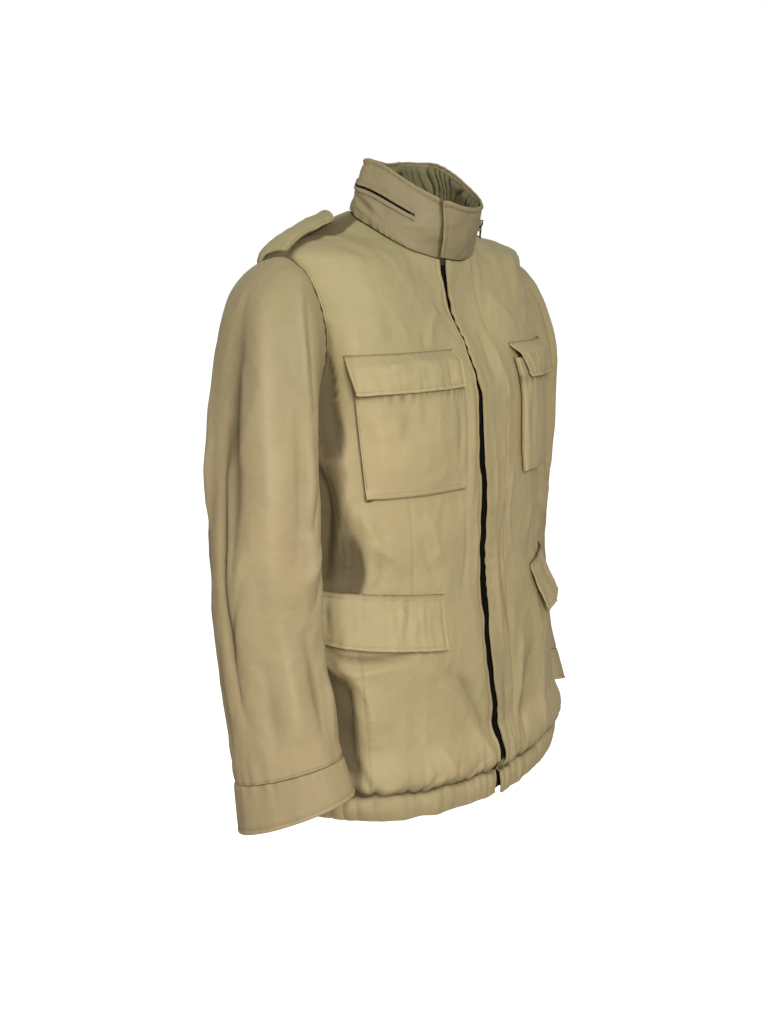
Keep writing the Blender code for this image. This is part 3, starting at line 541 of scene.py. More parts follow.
# The hem is drawn in: small hollows at uneven steps round it, which the cloth above shares.
GIRTH_START = -20
GIRTH_TURNS = np.linspace(GIRTH_START, 370, 781)
GIRTH = run_along(ring_point(GIRTH_TURNS, HEM_TOP + 0 * GIRTH_TURNS))
GATHER_PITCH = 0.0215
GATHER_HALF = 0.15  # half a hollow's width, as a share of the pitch


def hem_gather(turn):
    """Where the hem's small hollows lie: 1 in each and 0 between them, and the step's phase."""
    run = np.interp(np.where(turn < GIRTH_START, turn + 360, turn), GIRTH_TURNS, GIRTH)
    phase = run / GATHER_PITCH + 0.45 * np.sin(run / 0.043) + 0.3 * np.sin(run / 0.0171 + 1.3)
    away = np.abs(phase - np.round(phase))
    strength = 0.62 + 0.38 * np.sin(run / 0.061 + 2.0)
    return strength * bell(away, GATHER_HALF), phase


def hem_shift(turn, level):
    """The hem's seam wanders up and down, and takes the cloth on both sides with it."""
    hollow, phase = hem_gather(turn)
    above = np.exp(-(level - HEM_TOP) / 0.014)
    near = np.where(level > HEM_TOP, above, ramp(level, HEM_BOTTOM, HEM_TOP))
    return near * (0.0050 * hollow - 0.0022 + 0.0018 * np.sin(phase * 1.7))


def cloth_relief(points):
    """The cloth's own unevenness, which is finer and sharper the smaller it is."""
    return (
        waves(points, (0.060, 0.060, 0.150), 0.0030)
        + crumple(points, (0.055, 0.055, 0.120), 0.0032)
        + crumple(points, (0.024, 0.024, 0.042), 0.0011)
    )


def body_cloth(turn, level, out=0.0):
    """A point that stands this far out from the creased body."""
    turn, level, out = np.broadcast_arrays(turn, level, np.asarray(out, float))
    moved = level + hem_shift(turn, level)
    smooth = ring_point(turn, moved)
    rise = body_rise(turn, level) + cloth_relief(smooth)
    return smooth + face_out(turn, moved) * (out + rise)[..., None]


# How far forward the sleeve's painted shade on the body reaches, as level and turn.
SLEEVE_SHADE_EDGE = (
    (-0.720, 61.5), (-0.700, 63.0), (-0.660, 66.5), (-0.620, 67.3), (-0.590, 68.3), (-0.570, 69.8),
    (-0.554, 74.0), (-0.538, 81.0), (-0.505, 70.0), (-0.480, 64.5), (-0.450, 64.5), (-0.420, 65.5),
    (-0.395, 67.0), (-0.370, 68.5), (-0.345, 70.5), (-0.315, 68.5), (-0.270, 71.0), (-0.210, 73.0),
    (-0.160, 77.0), (0.000, 90.0),
)


def painted_sleeve_shade(turn, level):
    """How deep the sleeve's painted shade on the body is here, from 0 to 1."""
    keys, turns = np.array(SLEEVE_SHADE_EDGE).T
    edge = np.interp(level, keys, turns) + 0.8 * np.sin(level / 0.013)
    near = np.abs(signed(turn))
    return ramp(near - edge, -1.0, 2.2) * (1 - ramp(near, 96.0, 112.0))


def body_painted_shade(turn, level):
    """The painted shade on the body's cloth: in its folds, along the drawn-in hem's seam and in the
    sleeve's shade; on ridges, below zero, a painted highlight.
    """
    hollow, phase = hem_gather(turn)
    folds = body_rise(turn, level) - swelling(turn, level)
    drawn = 1.3 + 0.8 * hollow + 0.3 * np.sin(phase * 3.1)
    drawn = drawn * np.exp(-np.maximum(level - HEM_TOP, 0) / 0.0050)
    return drawn + 1.25 * painted_sleeve_shade(turn, level) - 0.7 * np.minimum(folds, 0.0030) / DEEP


# A shoulder strap, seen from above: how far out, back and wide it is at its ends.
STRAP_OUTER, STRAP_INNER = 0.2270, 0.108
STRAP_OUTER_Y, STRAP_INNER_Y = 0.023, 0.034
STRAP_HALF_OUTER, STRAP_HALF_INNER = 0.024, 0.020
STRAP_SHADE = 0.0036  # how far the shade along its edges reaches


def strap_middle(share):
    """How far back the strap's middle line is, and half its width, on the way inwards."""
    middle = STRAP_OUTER_Y + (STRAP_INNER_Y - STRAP_OUTER_Y) * share
    return middle, STRAP_HALF_OUTER + (STRAP_HALF_INNER - STRAP_HALF_OUTER) * share


def beside_strap(points):
    """The shade along the edges of the shoulder strap, from 0 to 1."""
    share = (np.abs(points[..., 0]) - STRAP_OUTER) / (STRAP_INNER - STRAP_OUTER)
    middle, half = strap_middle(share)
    away = np.maximum(np.abs(points[..., 1] - middle) - half, 0)
    along = ramp(share, -0.05, 0.0) * (1 - ramp(share, 1.0, 1.08))
    return along * bell(away, STRAP_SHADE) * ramp(points[..., 2], -0.10, -0.07)


def body_rise(turn, level):
    """How far the body's creases and its blousing over the hem lift the cloth here."""
    hollow, _ = hem_gather(turn)
    above = np.maximum(level - HEM_TOP, 0)
    blouse = 0.0095 * ramp(above, 0.0, 0.012) * (1 - ramp(above, 0.018, 0.060))
    tuck = -0.0024 * (1 - ramp(above, 0.0, 0.006))
    gather = -0.0078 * hollow * ramp(above, -0.004, 0.006) * np.exp(-above / 0.020)
    folds = CREASE_DEPTH * creased(BODY_CREASES, signed(turn), level, DEGREE)
    return swelling(turn, level) + folds + blouse + tuck + gather


# ---------------------------------------------------------------- cloth

EDGE_STEPS = np.array([0.0013, 0.0032, 0.0056, 0.0080])
TOPSTITCH = 0.0056  # a line of stitches lies this far in from its edge
EDGE_STITCH = 0.0032  # and this far in where it only holds a seam down
GROOVE_HALF = 0.0016
DEEP = 0.0060  # a hollow this deep has its full shade


def spaced(length, step, fine=EDGE_STEPS):
    """Shares of a length in even steps, with closer ones near both ends."""
    count = max(2, round((length - 2 * fine[-1]) / step) + 1)
    middle = np.linspace(fine[-1], length - fine[-1], count)
    return np.concatenate([[0], fine[:-1], middle, length - fine[-2::-1], [length]]) / length


class Cloth:
    """A sheet as a grid of points on its outer face, rows upwards and columns to the right."""

    def __init__(self, points, looped=False):
        self.points = points
        self.looped = looped
        # hollow: how much painted shade each point gets; below zero, a painted highlight.
        self.hollow = np.zeros(points.shape[:2])

    def normals(self):
        grid = self.points
        if self.looped:
            ring = np.concatenate([grid[:, -2:-1], grid, grid[:, 1:2]], axis=1)
            along = ring[:, 2:] - ring[:, :-2]
        else:
            along = np.gradient(grid, axis=1)
        return unit(np.cross(along, np.gradient(grid, axis=0)))

    def push(self, rise, shade=1.0):
        """Moves the cloth out along its normals; what sinks gets painted shade and what rises a
        painted highlight.
        """
        self.points = self.points + self.normals() * np.asarray(rise)[..., None]
        self.hollow = self.hollow - shade * rise / DEEP

    def darken(self, shade):
        """Adds painted shade to the cloth, beyond what its form gives."""
        self.hollow = self.hollow + shade

    def lengths(self, axis):
        """How far each point is along its column (0) or its row (1)."""
        steps = np.linalg.norm(np.diff(self.points, axis=axis), axis=-1)
        return np.insert(np.cumsum(steps, axis=axis), 0, 0, axis=axis)

    def away(self, edge):
        """How far each point is from one edge: left, right, foot or top."""
        run = self.lengths(1 if edge in ("left", "right") else 0)
        if edge == "right":
            return run[:, -1:] - run
        if edge == "top":
            return run[-1:] - run
        return run

    def beside(self, column):
        """How far each point is to the right of one column."""
        run = self.lengths(1)
        return run - run[:, column][:, None]

    def along(self, edge):
        """How far each point is along the way that an edge runs."""
        if edge in ("left", "right"):
            column = 0 if edge == "left" else -1
            return self.lengths(0)[:, column][:, None] + 0 * self.hollow
        row = 0 if edge == "foot" else -1
        return self.lengths(1)[row][None] + 0 * self.hollow

    def tuck(self, edge, depth, reach):
        """Turns the cloth in beside an edge."""
        self.push(-depth * (1 - ramp(self.away(edge), 0.0, reach)), 0.6)

    def pucker(self, edge, pitch, height, reach, start):
        """Small uneven ridges that run in from a sewn edge and fade."""
        run = self.along(edge) / pitch
        phase = run + 0.55 * np.sin(0.83 * run + start) + 0.35 * np.sin(0.31 * run + 2 * start)
        strength = 0.5 + 0.5 * np.sin(0.47 * run + 3 * start + 1.0)
        rise = height * strength * np.cos(2 * np.pi * phase) * np.exp(-self.away(edge) / reach)
        if self.looped:
            share = np.linspace(0, 1, rise.shape[1])
            rise = rise * ramp(share, 0.0, 0.03) * (1 - ramp(share, 0.97, 1.0))
        self.push(rise)

    def topstitch(self, edge, inset=TOPSTITCH, depth=0.0008, swell=0.0005):
        """The groove that a line of stitches pulls, and the roll between it and the edge."""
        away = self.away(edge)
        groove = bell(away - inset, GROOVE_HALF)
        roll = bell(away - 0.5 * inset, GROOVE_HALF)
        self.push(swell * roll - depth * groove, 1.6)

    def sample(self, rows, columns):
        """Points and normals at places between the grid's own."""
        normals = self.normals()
        row = np.clip(np.floor(rows).astype(int), 0, self.points.shape[0] - 2)
        column = np.clip(np.floor(columns).astype(int), 0, self.points.shape[1] - 2)
        up = (rows - row)[:, None]
        over = (columns - column)[:, None]
        found = []
        for grid in (self.points, normals):
            below, above = (
                grid[at, column] * (1 - over) + grid[at, column + 1] * over for at in (row, row + 1)
            )
            found.append(below * (1 - up) + above * up)
        return found

    def line(self, edge, inset=TOPSTITCH):
        """A line that keeps this far from an edge, as points and normals."""
        upright = edge in ("left", "right")
        away = self.away(edge) if upright else self.away(edge).T
        order = slice(None) if edge in ("left", "foot") else slice(None, None, -1)
        steps = np.arange(away.shape[1], dtype=float)[order]
        across = np.array([np.interp(inset, run[order], steps) for run in away])
        along = np.arange(len(away), dtype=float)
        return self.sample(along, across) if upright else self.sample(across, along)

    def column_line(self, column):
        """A line up one column of the grid."""
        rows = np.arange(len(self.points), dtype=float)
        return self.sample(rows, np.full(len(rows), float(column)))

    def row_line(self, row):
        """A line along one row of the grid."""
        columns = np.arange(self.points.shape[1], dtype=float)
        return self.sample(np.full(len(columns), float(row)), columns)


# ---------------------------------------------------------------- making pieces


def only(item):
    """Leaves this object selected and active, and no other."""
    bpy.ops.object.select_all(action="DESELECT")
    item.select_set(True)
    bpy.context.view_layer.objects.active = item


def edit_all():
    """Opens the active object for editing, with all of it selected."""
    bpy.ops.object.mode_set(mode="EDIT")
    bpy.ops.mesh.select_all(action="SELECT")


def place_uv(item, where):
    """Sets the UV map from a table with one row for each vertex."""
    mesh = item.data
    corners = np.empty(len(mesh.loops), np.int32)
    mesh.loops.foreach_get("vertex_index", corners)
    mesh.uv_layers[0].data.foreach_set("uv", where[corners].astype(np.float32).ravel())


def wear(item, material):
    """Gives the piece this material and no other."""
    item.data.materials.clear()
    item.data.materials.append(material)


def attach(item, nodes, body="jacket"):
    """The piece moves with its body and stands for its CAD nodes, which are hidden."""
    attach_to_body(item, body)
    if nodes:
        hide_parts(*nodes)


Cut = namedtuple("Cut", "width length area held", defaults=(None, "stretched"))
# How each sheet was cut before it was sewn: its greatest width and length and its area.
SHARP = math.radians(58)  # an edge at least this sharp is rounded
FINE_ROUNDING = 0.0005  # below this, rounded edges are kept from passing over each other


def sew_up(name, cloth, thickness, material, rounding=0.0004):
    """Makes a sheet with its thickness and rounded edges from a grid of its outer face."""
    rows, columns = cloth.points.shape[:2]
    bpy.ops.object.select_all(action="DESELECT")
    bpy.ops.mesh.primitive_grid_add(x_subdivisions=columns - 1, y_subdivisions=rows - 1, size=1.0)
    item = bpy.context.object
    item.name = item.data.name = name + "_cloth"
    item.data.vertices.foreach_set("co", cloth.points.astype(np.float32).ravel())
    place_uv(item, np.stack([cloth.lengths(1), cloth.lengths(0)], axis=-1).reshape(-1, 2))
    # The hollow attribute carries the painted shade and painted highlight into the finish's colour.
    shade = item.data.attributes.new("hollow", "FLOAT", "POINT")
    shade.data.foreach_set("value", np.clip(cloth.hollow, -1, 1.5).astype(np.float32).ravel())
    item.data.update()
    if cloth.looped:
        edit_all()
        bpy.ops.mesh.remove_doubles(threshold=0.00002)
        bpy.ops.object.mode_set(mode="OBJECT")
    wall = item.modifiers.new("wall", "SOLIDIFY")
    wall.thickness = thickness
    wall.offset = -1
    edge = item.modifiers.new("edge", "BEVEL")
    edge.width = rounding
    edge.segments = 2
    edge.limit_method = "ANGLE"
    edge.angle_limit = SHARP
    edge.use_clamp_overlap = rounding < FINE_ROUNDING
    for modifier in ("wall", "edge"):
        bpy.ops.object.modifier_apply(modifier=modifier)
    bpy.ops.object.shade_smooth()
    wear(item, material)
    attach(item, [name])


STITCH_PITCH = 0.0031


def as_shape(item):
    """The vertices and faces of an object in edit mode. The object itself goes."""
    bpy.ops.object.mode_set(mode="OBJECT")
    points = np.array([vert.co for vert in item.data.vertices])
    faces = [tuple(face.vertices) for face in item.data.polygons]
    bpy.data.objects.remove(item)
    return points, faces


def stitch_shape(length, width):
    """One stitch, along X and lying on Z = 0."""
    bpy.ops.object.select_all(action="DESELECT")
    bpy.ops.mesh.primitive_uv_sphere_add(segments=6, ring_count=3, radius=0.5)
    item = bpy.context.object
    edit_all()
    bpy.ops.transform.rotate(value=math.pi / 2, orient_axis="Y", center_override=(0, 0, 0))
    bpy.ops.transform.resize(value=(length, width, width), center_override=(0, 0, 0))
    return as_shape(item)


STITCH = stitch_shape(0.0024, 0.0006)


def along_line(line, pitch, start, end):
    """Places at even steps along a line: points, ways ahead and normals."""
    points, normals = line
    run = run_along(points)
    count = int((run[-1] - start - end) / pitch)
    where = start + (np.arange(count) + 0.5) * pitch

    def read(table, places):
        return np.stack([np.interp(places, run, column) for column in table.T], axis=-1)

    out = read(normals, where)
    ahead = unit(read(points, where + pitch / 2) - read(points, where - pitch / 2))
    out = unit(out - ahead * (out * ahead).sum(1, keepdims=True))
    return read(points, where), ahead, out


def repeated(name, shape, places, material, lift):
    """One mesh of copies of a small shape, each turned to the way it lies."""
    points, faces = shape
    at, ahead, out = places
    over = np.cross(out, ahead)
    spread = (
        at[:, None]
        + out[:, None] * lift
        + points[None, :, :1] * ahead[:, None]
        + points[None, :, 1:2] * over[:, None]
        + points[None, :, 2:] * out[:, None]
    )
    all_faces = [tuple(i + n * len(points) for i in face) for n in range(len(at)) for face in faces]
    mesh = bpy.data.meshes.new(name)
    mesh.from_pydata(spread.reshape(-1, 3).tolist(), [], all_faces)
    item = bpy.data.objects.new(name, mesh)
    bpy.context.scene.collection.objects.link(item)
    only(item)
    bpy.ops.object.shade_smooth()
    wear(item, material)
    return item


def stitching(piece, lines):
    """All the stitches on one piece. Each line is its points and normals, and what it skips."""
    places = [along_line(line, STITCH_PITCH, start, end) for line, start, end in lines]
    places = [np.concatenate(parts) for parts in zip(*places)]
    item = repeated(piece + "_stitching", STITCH, places, THREAD, 0.00012)
    attach(item, [])


# ---------------------------------------------------------------- finishes


class Value:
    """A number or colour that a node gives, so that sums are written as plain Python."""

    def __init__(self, finish, socket):
        self.finish = finish
        self.socket = socket

    def math(self, operation, first, second=0.0):
        return self.finish.node("ShaderNodeMath", {"operation": operation}, {0: first, 1: second})

    def __add__(self, other):
        return self.math("ADD", self, other)

    def __mul__(self, other):
        return self.math("MULTIPLY", self, other)

    def __sub__(self, other):
        return self.math("SUBTRACT", self, other)

    def __rsub__(self, other):
        return self.math("SUBTRACT", other, self)

    __radd__ = __add__
    __rmul__ = __mul__

    def sine(self):
        return self.math("SINE", self)

    def from_to(self, low, high):
        """0 below low, 1 above high and smooth between them."""
        inputs = {"Value": self, "From Min": low, "From Max": high}
        return self.finish.node("ShaderNodeMapRange", {"interpolation_type": "SMOOTHSTEP"}, inputs)


class Finish:
    """A material with a Principled shader, built up from nodes."""

    def __init__(self, name):
        self.material = bpy.data.materials.new(name)
        self.material.use_nodes = True
        self.tree = self.material.node_tree
        self.shader = self.tree.nodes["Principled BSDF"]

    def feed(self, socket, value):
        if isinstance(value, Value):
            self.tree.links.new(value.socket, socket)
        else:
            socket.default_value = value

    def node(self, kind, settings, inputs=None, output=0):
        """A node's output, as a value; its inputs take numbers, colours or other values."""
        made = self.tree.nodes.new(kind)
        for key, value in settings.items():
            setattr(made, key, value)
        for key, value in (inputs or {}).items():
            self.feed(made.inputs[key], value)
        return Value(self, made.outputs[output])

    def place(self):
        """Where a point is on the piece, in metres."""
        return self.node("ShaderNodeTexCoord", {}, {}, "Object")

    def cloth_place(self):
        """Where a point is on the cloth, in metres across and up."""
        return self.node("ShaderNodeUVMap", {"uv_map": "UVMap"})

    def part(self, place, axis):
        """One of a place's three measures."""
        return self.node("ShaderNodeSeparateXYZ", {}, {0: place}, axis)

    def mix(self, share, first, second):
        """The first colour, with this share of the second."""
        return self.node("ShaderNodeMix", {"data_type": "RGBA"}, {0: share, 6: first, 7: second}, 2)

    def grain(self, place, scale, detail, roughness=0.55):
        """Uneven cloudy grain, finer as the scale rises."""
        inputs = {"Vector": place, "Scale": scale, "Detail": detail, "Roughness": roughness}
        return self.node("ShaderNodeTexNoise", {}, inputs, "Fac")

    def set(self, **values):
        for name, value in values.items():
            self.feed(self.shader.inputs[name.replace("_", " ")], value)

    def bump(self, height, strength, distance):
        inputs = {"Height": height, "Strength": strength, "Distance": distance}
        self.set(Normal=self.node("ShaderNodeBump", {}, inputs))


def rgb(red, green, blue):
    """A colour from the usual screen numbers, 0 to 255."""
    scaled = [channel / 255 for channel in (red, green, blue)]
    return (*[(c / 12.92 if c < 0.04045 else ((c + 0.055) / 1.055) ** 2.4) for c in scaled], 1.0)


# A cloth's colours: on the flat; towards the shoulders, greener and darker, partly as painted
# shade;
# paler, as a painted highlight on ridges and edges and as random fading; and in hollows, as painted
# shade. How rough and how furred it is, and how far apart its ribs lie.
Dye = namedtuple(
    "Dye", "body cool light deep roughness sheen pitch", defaults=(0.62, 0.12, 0.00085)
)
SHELL_DYE = Dye(rgb(189, 169, 124), rgb(164, 156, 112), rgb(207, 185, 139), rgb(74, 60, 34))
# The sleeves' colours: a darker copy of the shell's, as painted shade on the sleeves.
SHADED_SLEEVE_DYE = Dye(rgb(175, 155, 114), rgb(154, 145, 104), rgb(196, 176, 134), rgb(74, 60, 34))
# The collar's colours: a darker copy of the shell's, as painted shade on the collar.
SHADED_COLLAR_DYE = Dye(rgb(150, 135, 100), rgb(148, 135, 100), rgb(176, 159, 120), rgb(84, 72, 46))
LINING_DYE = Dye(
    rgb(128, 120, 84), rgb(120, 114, 80), rgb(150, 142, 102), rgb(52, 47, 28), 0.55, 0.10, 0.00060
)


def cloth_finish(name, dye):
    """Twill: greener and darker towards the shoulders, partly as painted shade, with painted shade
    in hollows and a painted highlight on ridges and edges.
    """
    finish = Finish(name)
    place = finish.place()
    uv = finish.cloth_place()
    across = finish.part(uv, 0)
    up = finish.part(uv, 1)
    height = finish.part(place, 2)
    hollow = finish.node("ShaderNodeAttribute", {"attribute_name": "hollow"}, {}, "Fac")
    mottle = finish.grain(place, 7.0, 4.0)
    fade = finish.grain(place, 23.0, 3.0)
    lint = finish.grain(uv, 420.0, 2.0)

    # Greener and darker upwards: partly the cloth's tone, partly painted shade on the tops; with
    # random mottle.
    cool = height.from_to(-0.34, 0.02) * 0.75 + mottle.from_to(0.35, 0.72) * 0.45
    colour = finish.mix(cool * 0.8, dye.body, dye.cool)
    # A painted highlight on ridges and edges, and random fading.
    ridge_highlight_and_fade = (0.0 - hollow).from_to(0.05, 0.9) * 0.42 + fade.from_to(0.45, 0.8) * 0.14
    colour = finish.mix(ridge_highlight_and_fade, colour, dye.light)
    # Painted shade in hollows, creases, seams and beside other parts.
    painted_shade = hollow.from_to(0.08, 1.1) * 0.50 + hollow.from_to(0.7, 1.5) * 0.36
    colour = finish.mix(painted_shade, colour, dye.deep)

    turns = 2 * math.pi / dye.pitch
    ribs = ((across + up * 0.9) * turns).sine()
    threads = (across * (turns * 2.1)).sine() * (up * (turns * 1.9)).sine()
    weave = ribs * 0.32 + threads * 0.18 + lint * 0.5
    colour = finish.mix(weave.from_to(0.0, 0.7) * 0.10, colour, dye.deep)
    finish.set(Base_Color=colour, Roughness=mottle * 0.10 + hollow * 0.05 + (dye.roughness - 0.05))
    finish.set(Sheen_Weight=dye.sheen, Sheen_Roughness=0.45, Specular_IOR_Level=0.32)
    finish.shader.inputs["Sheen Tint"].default_value = dye.light
    wrinkle = finish.grain(place, 70.0, 3.0, 0.5) + finish.grain(place, 26.0, 2.0, 0.5) * 1.6
    finish.bump(wrinkle + weave * 0.05, 0.55, 0.0022)
    return finish.material


def thread_finish(name, colour, deep):
    """Twisted sewing thread."""
    finish = Finish(name)
    place = finish.place()
    twist = finish.grain(place, 900.0, 2.0)
    shade = finish.grain(place, 30.0, 2.0)
    finish.set(Base_Color=finish.mix(shade.from_to(0.3, 0.7) * 0.5 + twist * 0.2, colour, deep))
    finish.set(Roughness=twist * 0.2 + 0.45, Sheen_Weight=0.2, Specular_IOR_Level=0.35)
    finish.bump(twist, 0.3, 0.0001)
    return finish.material


def tape_finish(name, colour, light):
    """Woven zip tape, with a fine rib across it."""
    finish = Finish(name)
    uv = finish.cloth_place()
    across = finish.part(uv, 0)
    up = finish.part(uv, 1)
    cross_rib = (up * (2 * math.pi / 0.0009)).sine()
    rib = cross_rib * 0.5 + (across * (2 * math.pi / 0.0006)).sine() * 0.3
    dust = finish.grain(uv, 90.0, 3.0)
    finish.set(Base_Color=finish.mix(rib * 0.15 + dust * 0.35, colour, light))
    finish.set(Roughness=dust * 0.15 + 0.75, Sheen_Weight=0.03, Specular_IOR_Level=0.2)
    finish.bump(rib, 0.3, 0.0002)
    return finish.material


def metal_finish(name, colour, worn, roughness):
    """Blackened metal, rubbed paler in patches."""
    finish = Finish(name)
    place = finish.place()
    rub = finish.grain(place, 260.0, 4.0)
    scratch = finish.grain(place, 1400.0, 2.0)
    wear_share = rub.from_to(0.52, 0.74) * 0.55 + scratch.from_to(0.6, 0.8) * 0.2
    finish.set(Base_Color=finish.mix(wear_share, colour, worn), Metallic=0.85)
    finish.set(Roughness=rub * 0.22 + (roughness - 0.1))
    finish.bump(scratch, 0.12, 0.0001)
    return finish.material


SHELL = cloth_finish("khaki_twill", SHELL_DYE)
# A darker copy of the twill: painted shade on the sleeves and cuffs.
SHADED_SLEEVE_SHELL = cloth_finish("khaki_sleeve_twill_painted_shade", SHADED_SLEEVE_DYE)
# A darker copy of the twill: painted shade on the collar and its zip's lips.
SHADED_COLLAR_SHELL = cloth_finish("khaki_collar_twill_painted_shade", SHADED_COLLAR_DYE)
LINING = cloth_finish("lining_cloth", LINING_DYE)
THREAD = thread_finish("khaki_thread", rgb(150, 134, 92), rgb(112, 98, 64))
TAPE = tape_finish("zip_tape", rgb(14, 10, 8), rgb(28, 21, 16))
TEETH = metal_finish("zip_teeth", rgb(20, 16, 13), rgb(58, 50, 42), 0.60)
BLACK_METAL = metal_finish("blackened_metal", rgb(14, 14, 15), rgb(58, 56, 54), 0.42)

# ---------------------------------------------------------------- the body's panels

SEAM_STEP = 0.0036  # rows of points are this far apart below the armhole
FRONT_STEP, BACK_STEP = 0.0031, 0.0043  # and their columns this far
ARM_ROWS = 46  # rows of points beside the armhole
SHOULDER_STEPS = 46  # and from the shoulder tip to the neck
NECK_FINE = np.array([0.0022, 0.0012, 0.0005, 0.0])


def panel_levels(angle, end_angle):
    """Levels up a front or the back, closer together at the hem and at the neck."""
    top = float(armhole(angle)[1]) - HEM_TOP
    even = np.arange(EDGE_STEPS[-1] + SEAM_STEP, top - 0.002, SEAM_STEP)
    seam = np.concatenate([[0], EDGE_STEPS, even])
    round_arm = armhole(np.linspace(angle, end_angle, ARM_ROWS))[1]
    shoulder = np.linspace(SHOULDER_TIP, -NECK_FINE[0], SHOULDER_STEPS)[1:-1]
    return np.concatenate([HEM_TOP + seam, round_arm, shoulder, -NECK_FINE])


def ruled(lines, lengths, step):
    """Turns across a panel between its lines, and the column of each line."""
    grids, columns = [], [0]
    for at, (low, high, length) in enumerate(zip(lines, lines[1:], lengths)):
        share = spaced(length, step)
        grid = low[:, None] + (high - low)[:, None] * share
        grids.append(grid if at == len(lengths) - 1 else grid[:, :-1])
        columns.append(columns[-1] + len(share) - 1)
    return np.concatenate(grids, axis=1), columns


# The greatest widths of the cloth between a panel's lines, and a side panel's size.
RIGHT_WIDTHS, LEFT_WIDTHS, BACK_WIDTHS = (0.050, 0.160), (0.045, 0.165), (0.480,)
SIDE_WIDTH, SIDE_HEIGHT = 0.175, 0.465
HALF_GAP = 0.02  # half the gap between two sewn panels, in degrees of turn
TURNING = np.array([0.0014, 0.0040, 0.0070])  # a turned-in strip's rows, beyond the seam
TURNING_DEPTH = 0.0040


def front_edge(levels):
    """The turn of a left front's outer edge."""
    return panel_turn(levels, FRONT_SEAM_ANGLE, SEAM_FOOT_TURN, ARM_FRONT) - HALF_GAP


# The lines of the right front's dart and of the fly's stitches, as level and turn.
DART = ((-0.711, 46.0), (-0.465, 48.8), (-0.401, 49.2), (-0.351, 50.7), (-0.20, 53.0), (0.0, 50.0))
DART_FOOT, DART_TIP = -0.478, -0.345
FLY = (
    (-0.711, 4.5), (-0.690, 7.5), (-0.640, 11.0), (-0.566, 13.4),
    (-0.400, 15.4), (-0.240, 17.3), (-0.100, 20.0), (0.0, 26.0),
)


def guide(table, levels):
    """The turn of a line on the body at each level."""
    keys, turns = np.array(table).T
    return between(keys, turns, levels)


def sewn(cloth, seam_edge, start):
    """What sewing does beside a seam: it is pulled in, with small puckers."""
    cloth.tuck(seam_edge, 0.0008, 0.006)
    cloth.pucker(seam_edge, 0.013, 0.0006, 0.010, start)


def sewn_panel(cloth, seam_edge):
    """A panel's side seam, and its edge at the neck."""
    sewn(cloth, seam_edge, 1.0)
    cloth.tuck("top", 0.0006, 0.005)


ROUND_ARM = 0.18  # the length of a side edge that lies round the armhole, with no stitches


def side_stitches(cloth, edge):
    """The line of stitches that holds a side seam's allowance down."""
    return cloth.line(edge, EDGE_STITCH), 0.003, ROUND_ARM


def make_right_front():
    """The front that lies under, with its dart and a trough beside its free edge."""
    levels = panel_levels(FRONT_SEAM_ANGLE, 0.0)
    lines = [-front_edge(levels), -guide(DART, levels), turn_at(right_edge_x(levels), levels)]
    turn, columns = ruled(lines, RIGHT_WIDTHS, FRONT_STEP)
    level = levels[:, None] + 0 * turn
    cloth = Cloth(body_cloth(turn, level))
    cloth.hollow = body_painted_shade(turn, level) + beside_strap(cloth.points)
    ended = ramp(level, DART_TIP - 0.004, DART_TIP + 0.002)
    shown = ramp(level, DART_FOOT - 0.004, DART_FOOT) * (1 - ended)
    beside = cloth.beside(columns[1])
    cloth.push(-0.0009 * shown * bell(beside, GROOVE_HALF), 2.2)
    cloth.push(0.0006 * shown * bell(beside + 0.004, 0.003))
    sewn_panel(cloth, "left")
    cloth.topstitch("left", EDGE_STITCH, 0.0006, 0.0003)
    cloth.topstitch("right")
    trough = bell(cloth.away("right"), 0.014) * ramp(-level, 0.16, 0.32)
    cloth.push(-0.0022 * trough, 1.1)
    sew_up("right_front", cloth, WALL, SHELL)
    lines = [(cloth.line("right"), 0.004, 0.004), side_stitches(cloth, "left")]
    stitching("right_front", lines)


def make_left_front():
    """The front that passes over, with the stitches of the fly that covers the zip."""
    levels = panel_levels(FRONT_SEAM_ANGLE, 0.0)
    lines = [turn_at(left_edge_x(levels), levels), guide(FLY, levels), front_edge(levels)]
    turn, columns = ruled(lines, LEFT_WIDTHS, FRONT_STEP)
    level = levels[:, None] + 0 * turn
    lift = placket_lift(np.minimum(turn, 89.9), level)
    cloth = Cloth(body_cloth(turn, level, lift))
    cloth.hollow = body_painted_shade(turn, level) + 1.4 * beside_strap(cloth.points)
    # The left front grows darker towards its foot.
    cloth.darken(0.30 * ramp(-level, 0.36, 0.60))
    cloth.push(-0.0006 * bell(cloth.beside(columns[1]), 0.0018), 2.0)
    cloth.pucker("left", 0.021, 0.0009, 0.016, 2.0)
    sewn_panel(cloth, "right")
    cloth.topstitch("right", EDGE_STITCH, 0.0006, 0.0003)
    sew_up("left_front", cloth, WALL, SHELL)
    lines = [(cloth.column_line(columns[1]), 0.004, 0.004), side_stitches(cloth, "right")]
    stitching("left_front", lines)


def make_back():
    """The back, one plain panel."""
    levels = panel_levels(BACK_SEAM_ANGLE, 360.0)
    edge = panel_turn(levels, BACK_SEAM_ANGLE, BACK_SEAM_FOOT_TURN, -ARM_BACK) + HALF_GAP
    turn, _ = ruled([edge, 360 - edge], BACK_WIDTHS, BACK_STEP)
    level = levels[:, None] + 0 * turn
    cloth = Cloth(body_cloth(turn, level))
    cloth.hollow = body_painted_shade(turn, level)
    sewn_panel(cloth, "left")
    sewn(cloth, "right", 2.0)
    sew_up("back", cloth, WALL, SHELL)
    stitching("back", [side_stitches(cloth, edge) for edge in ("left", "right")])


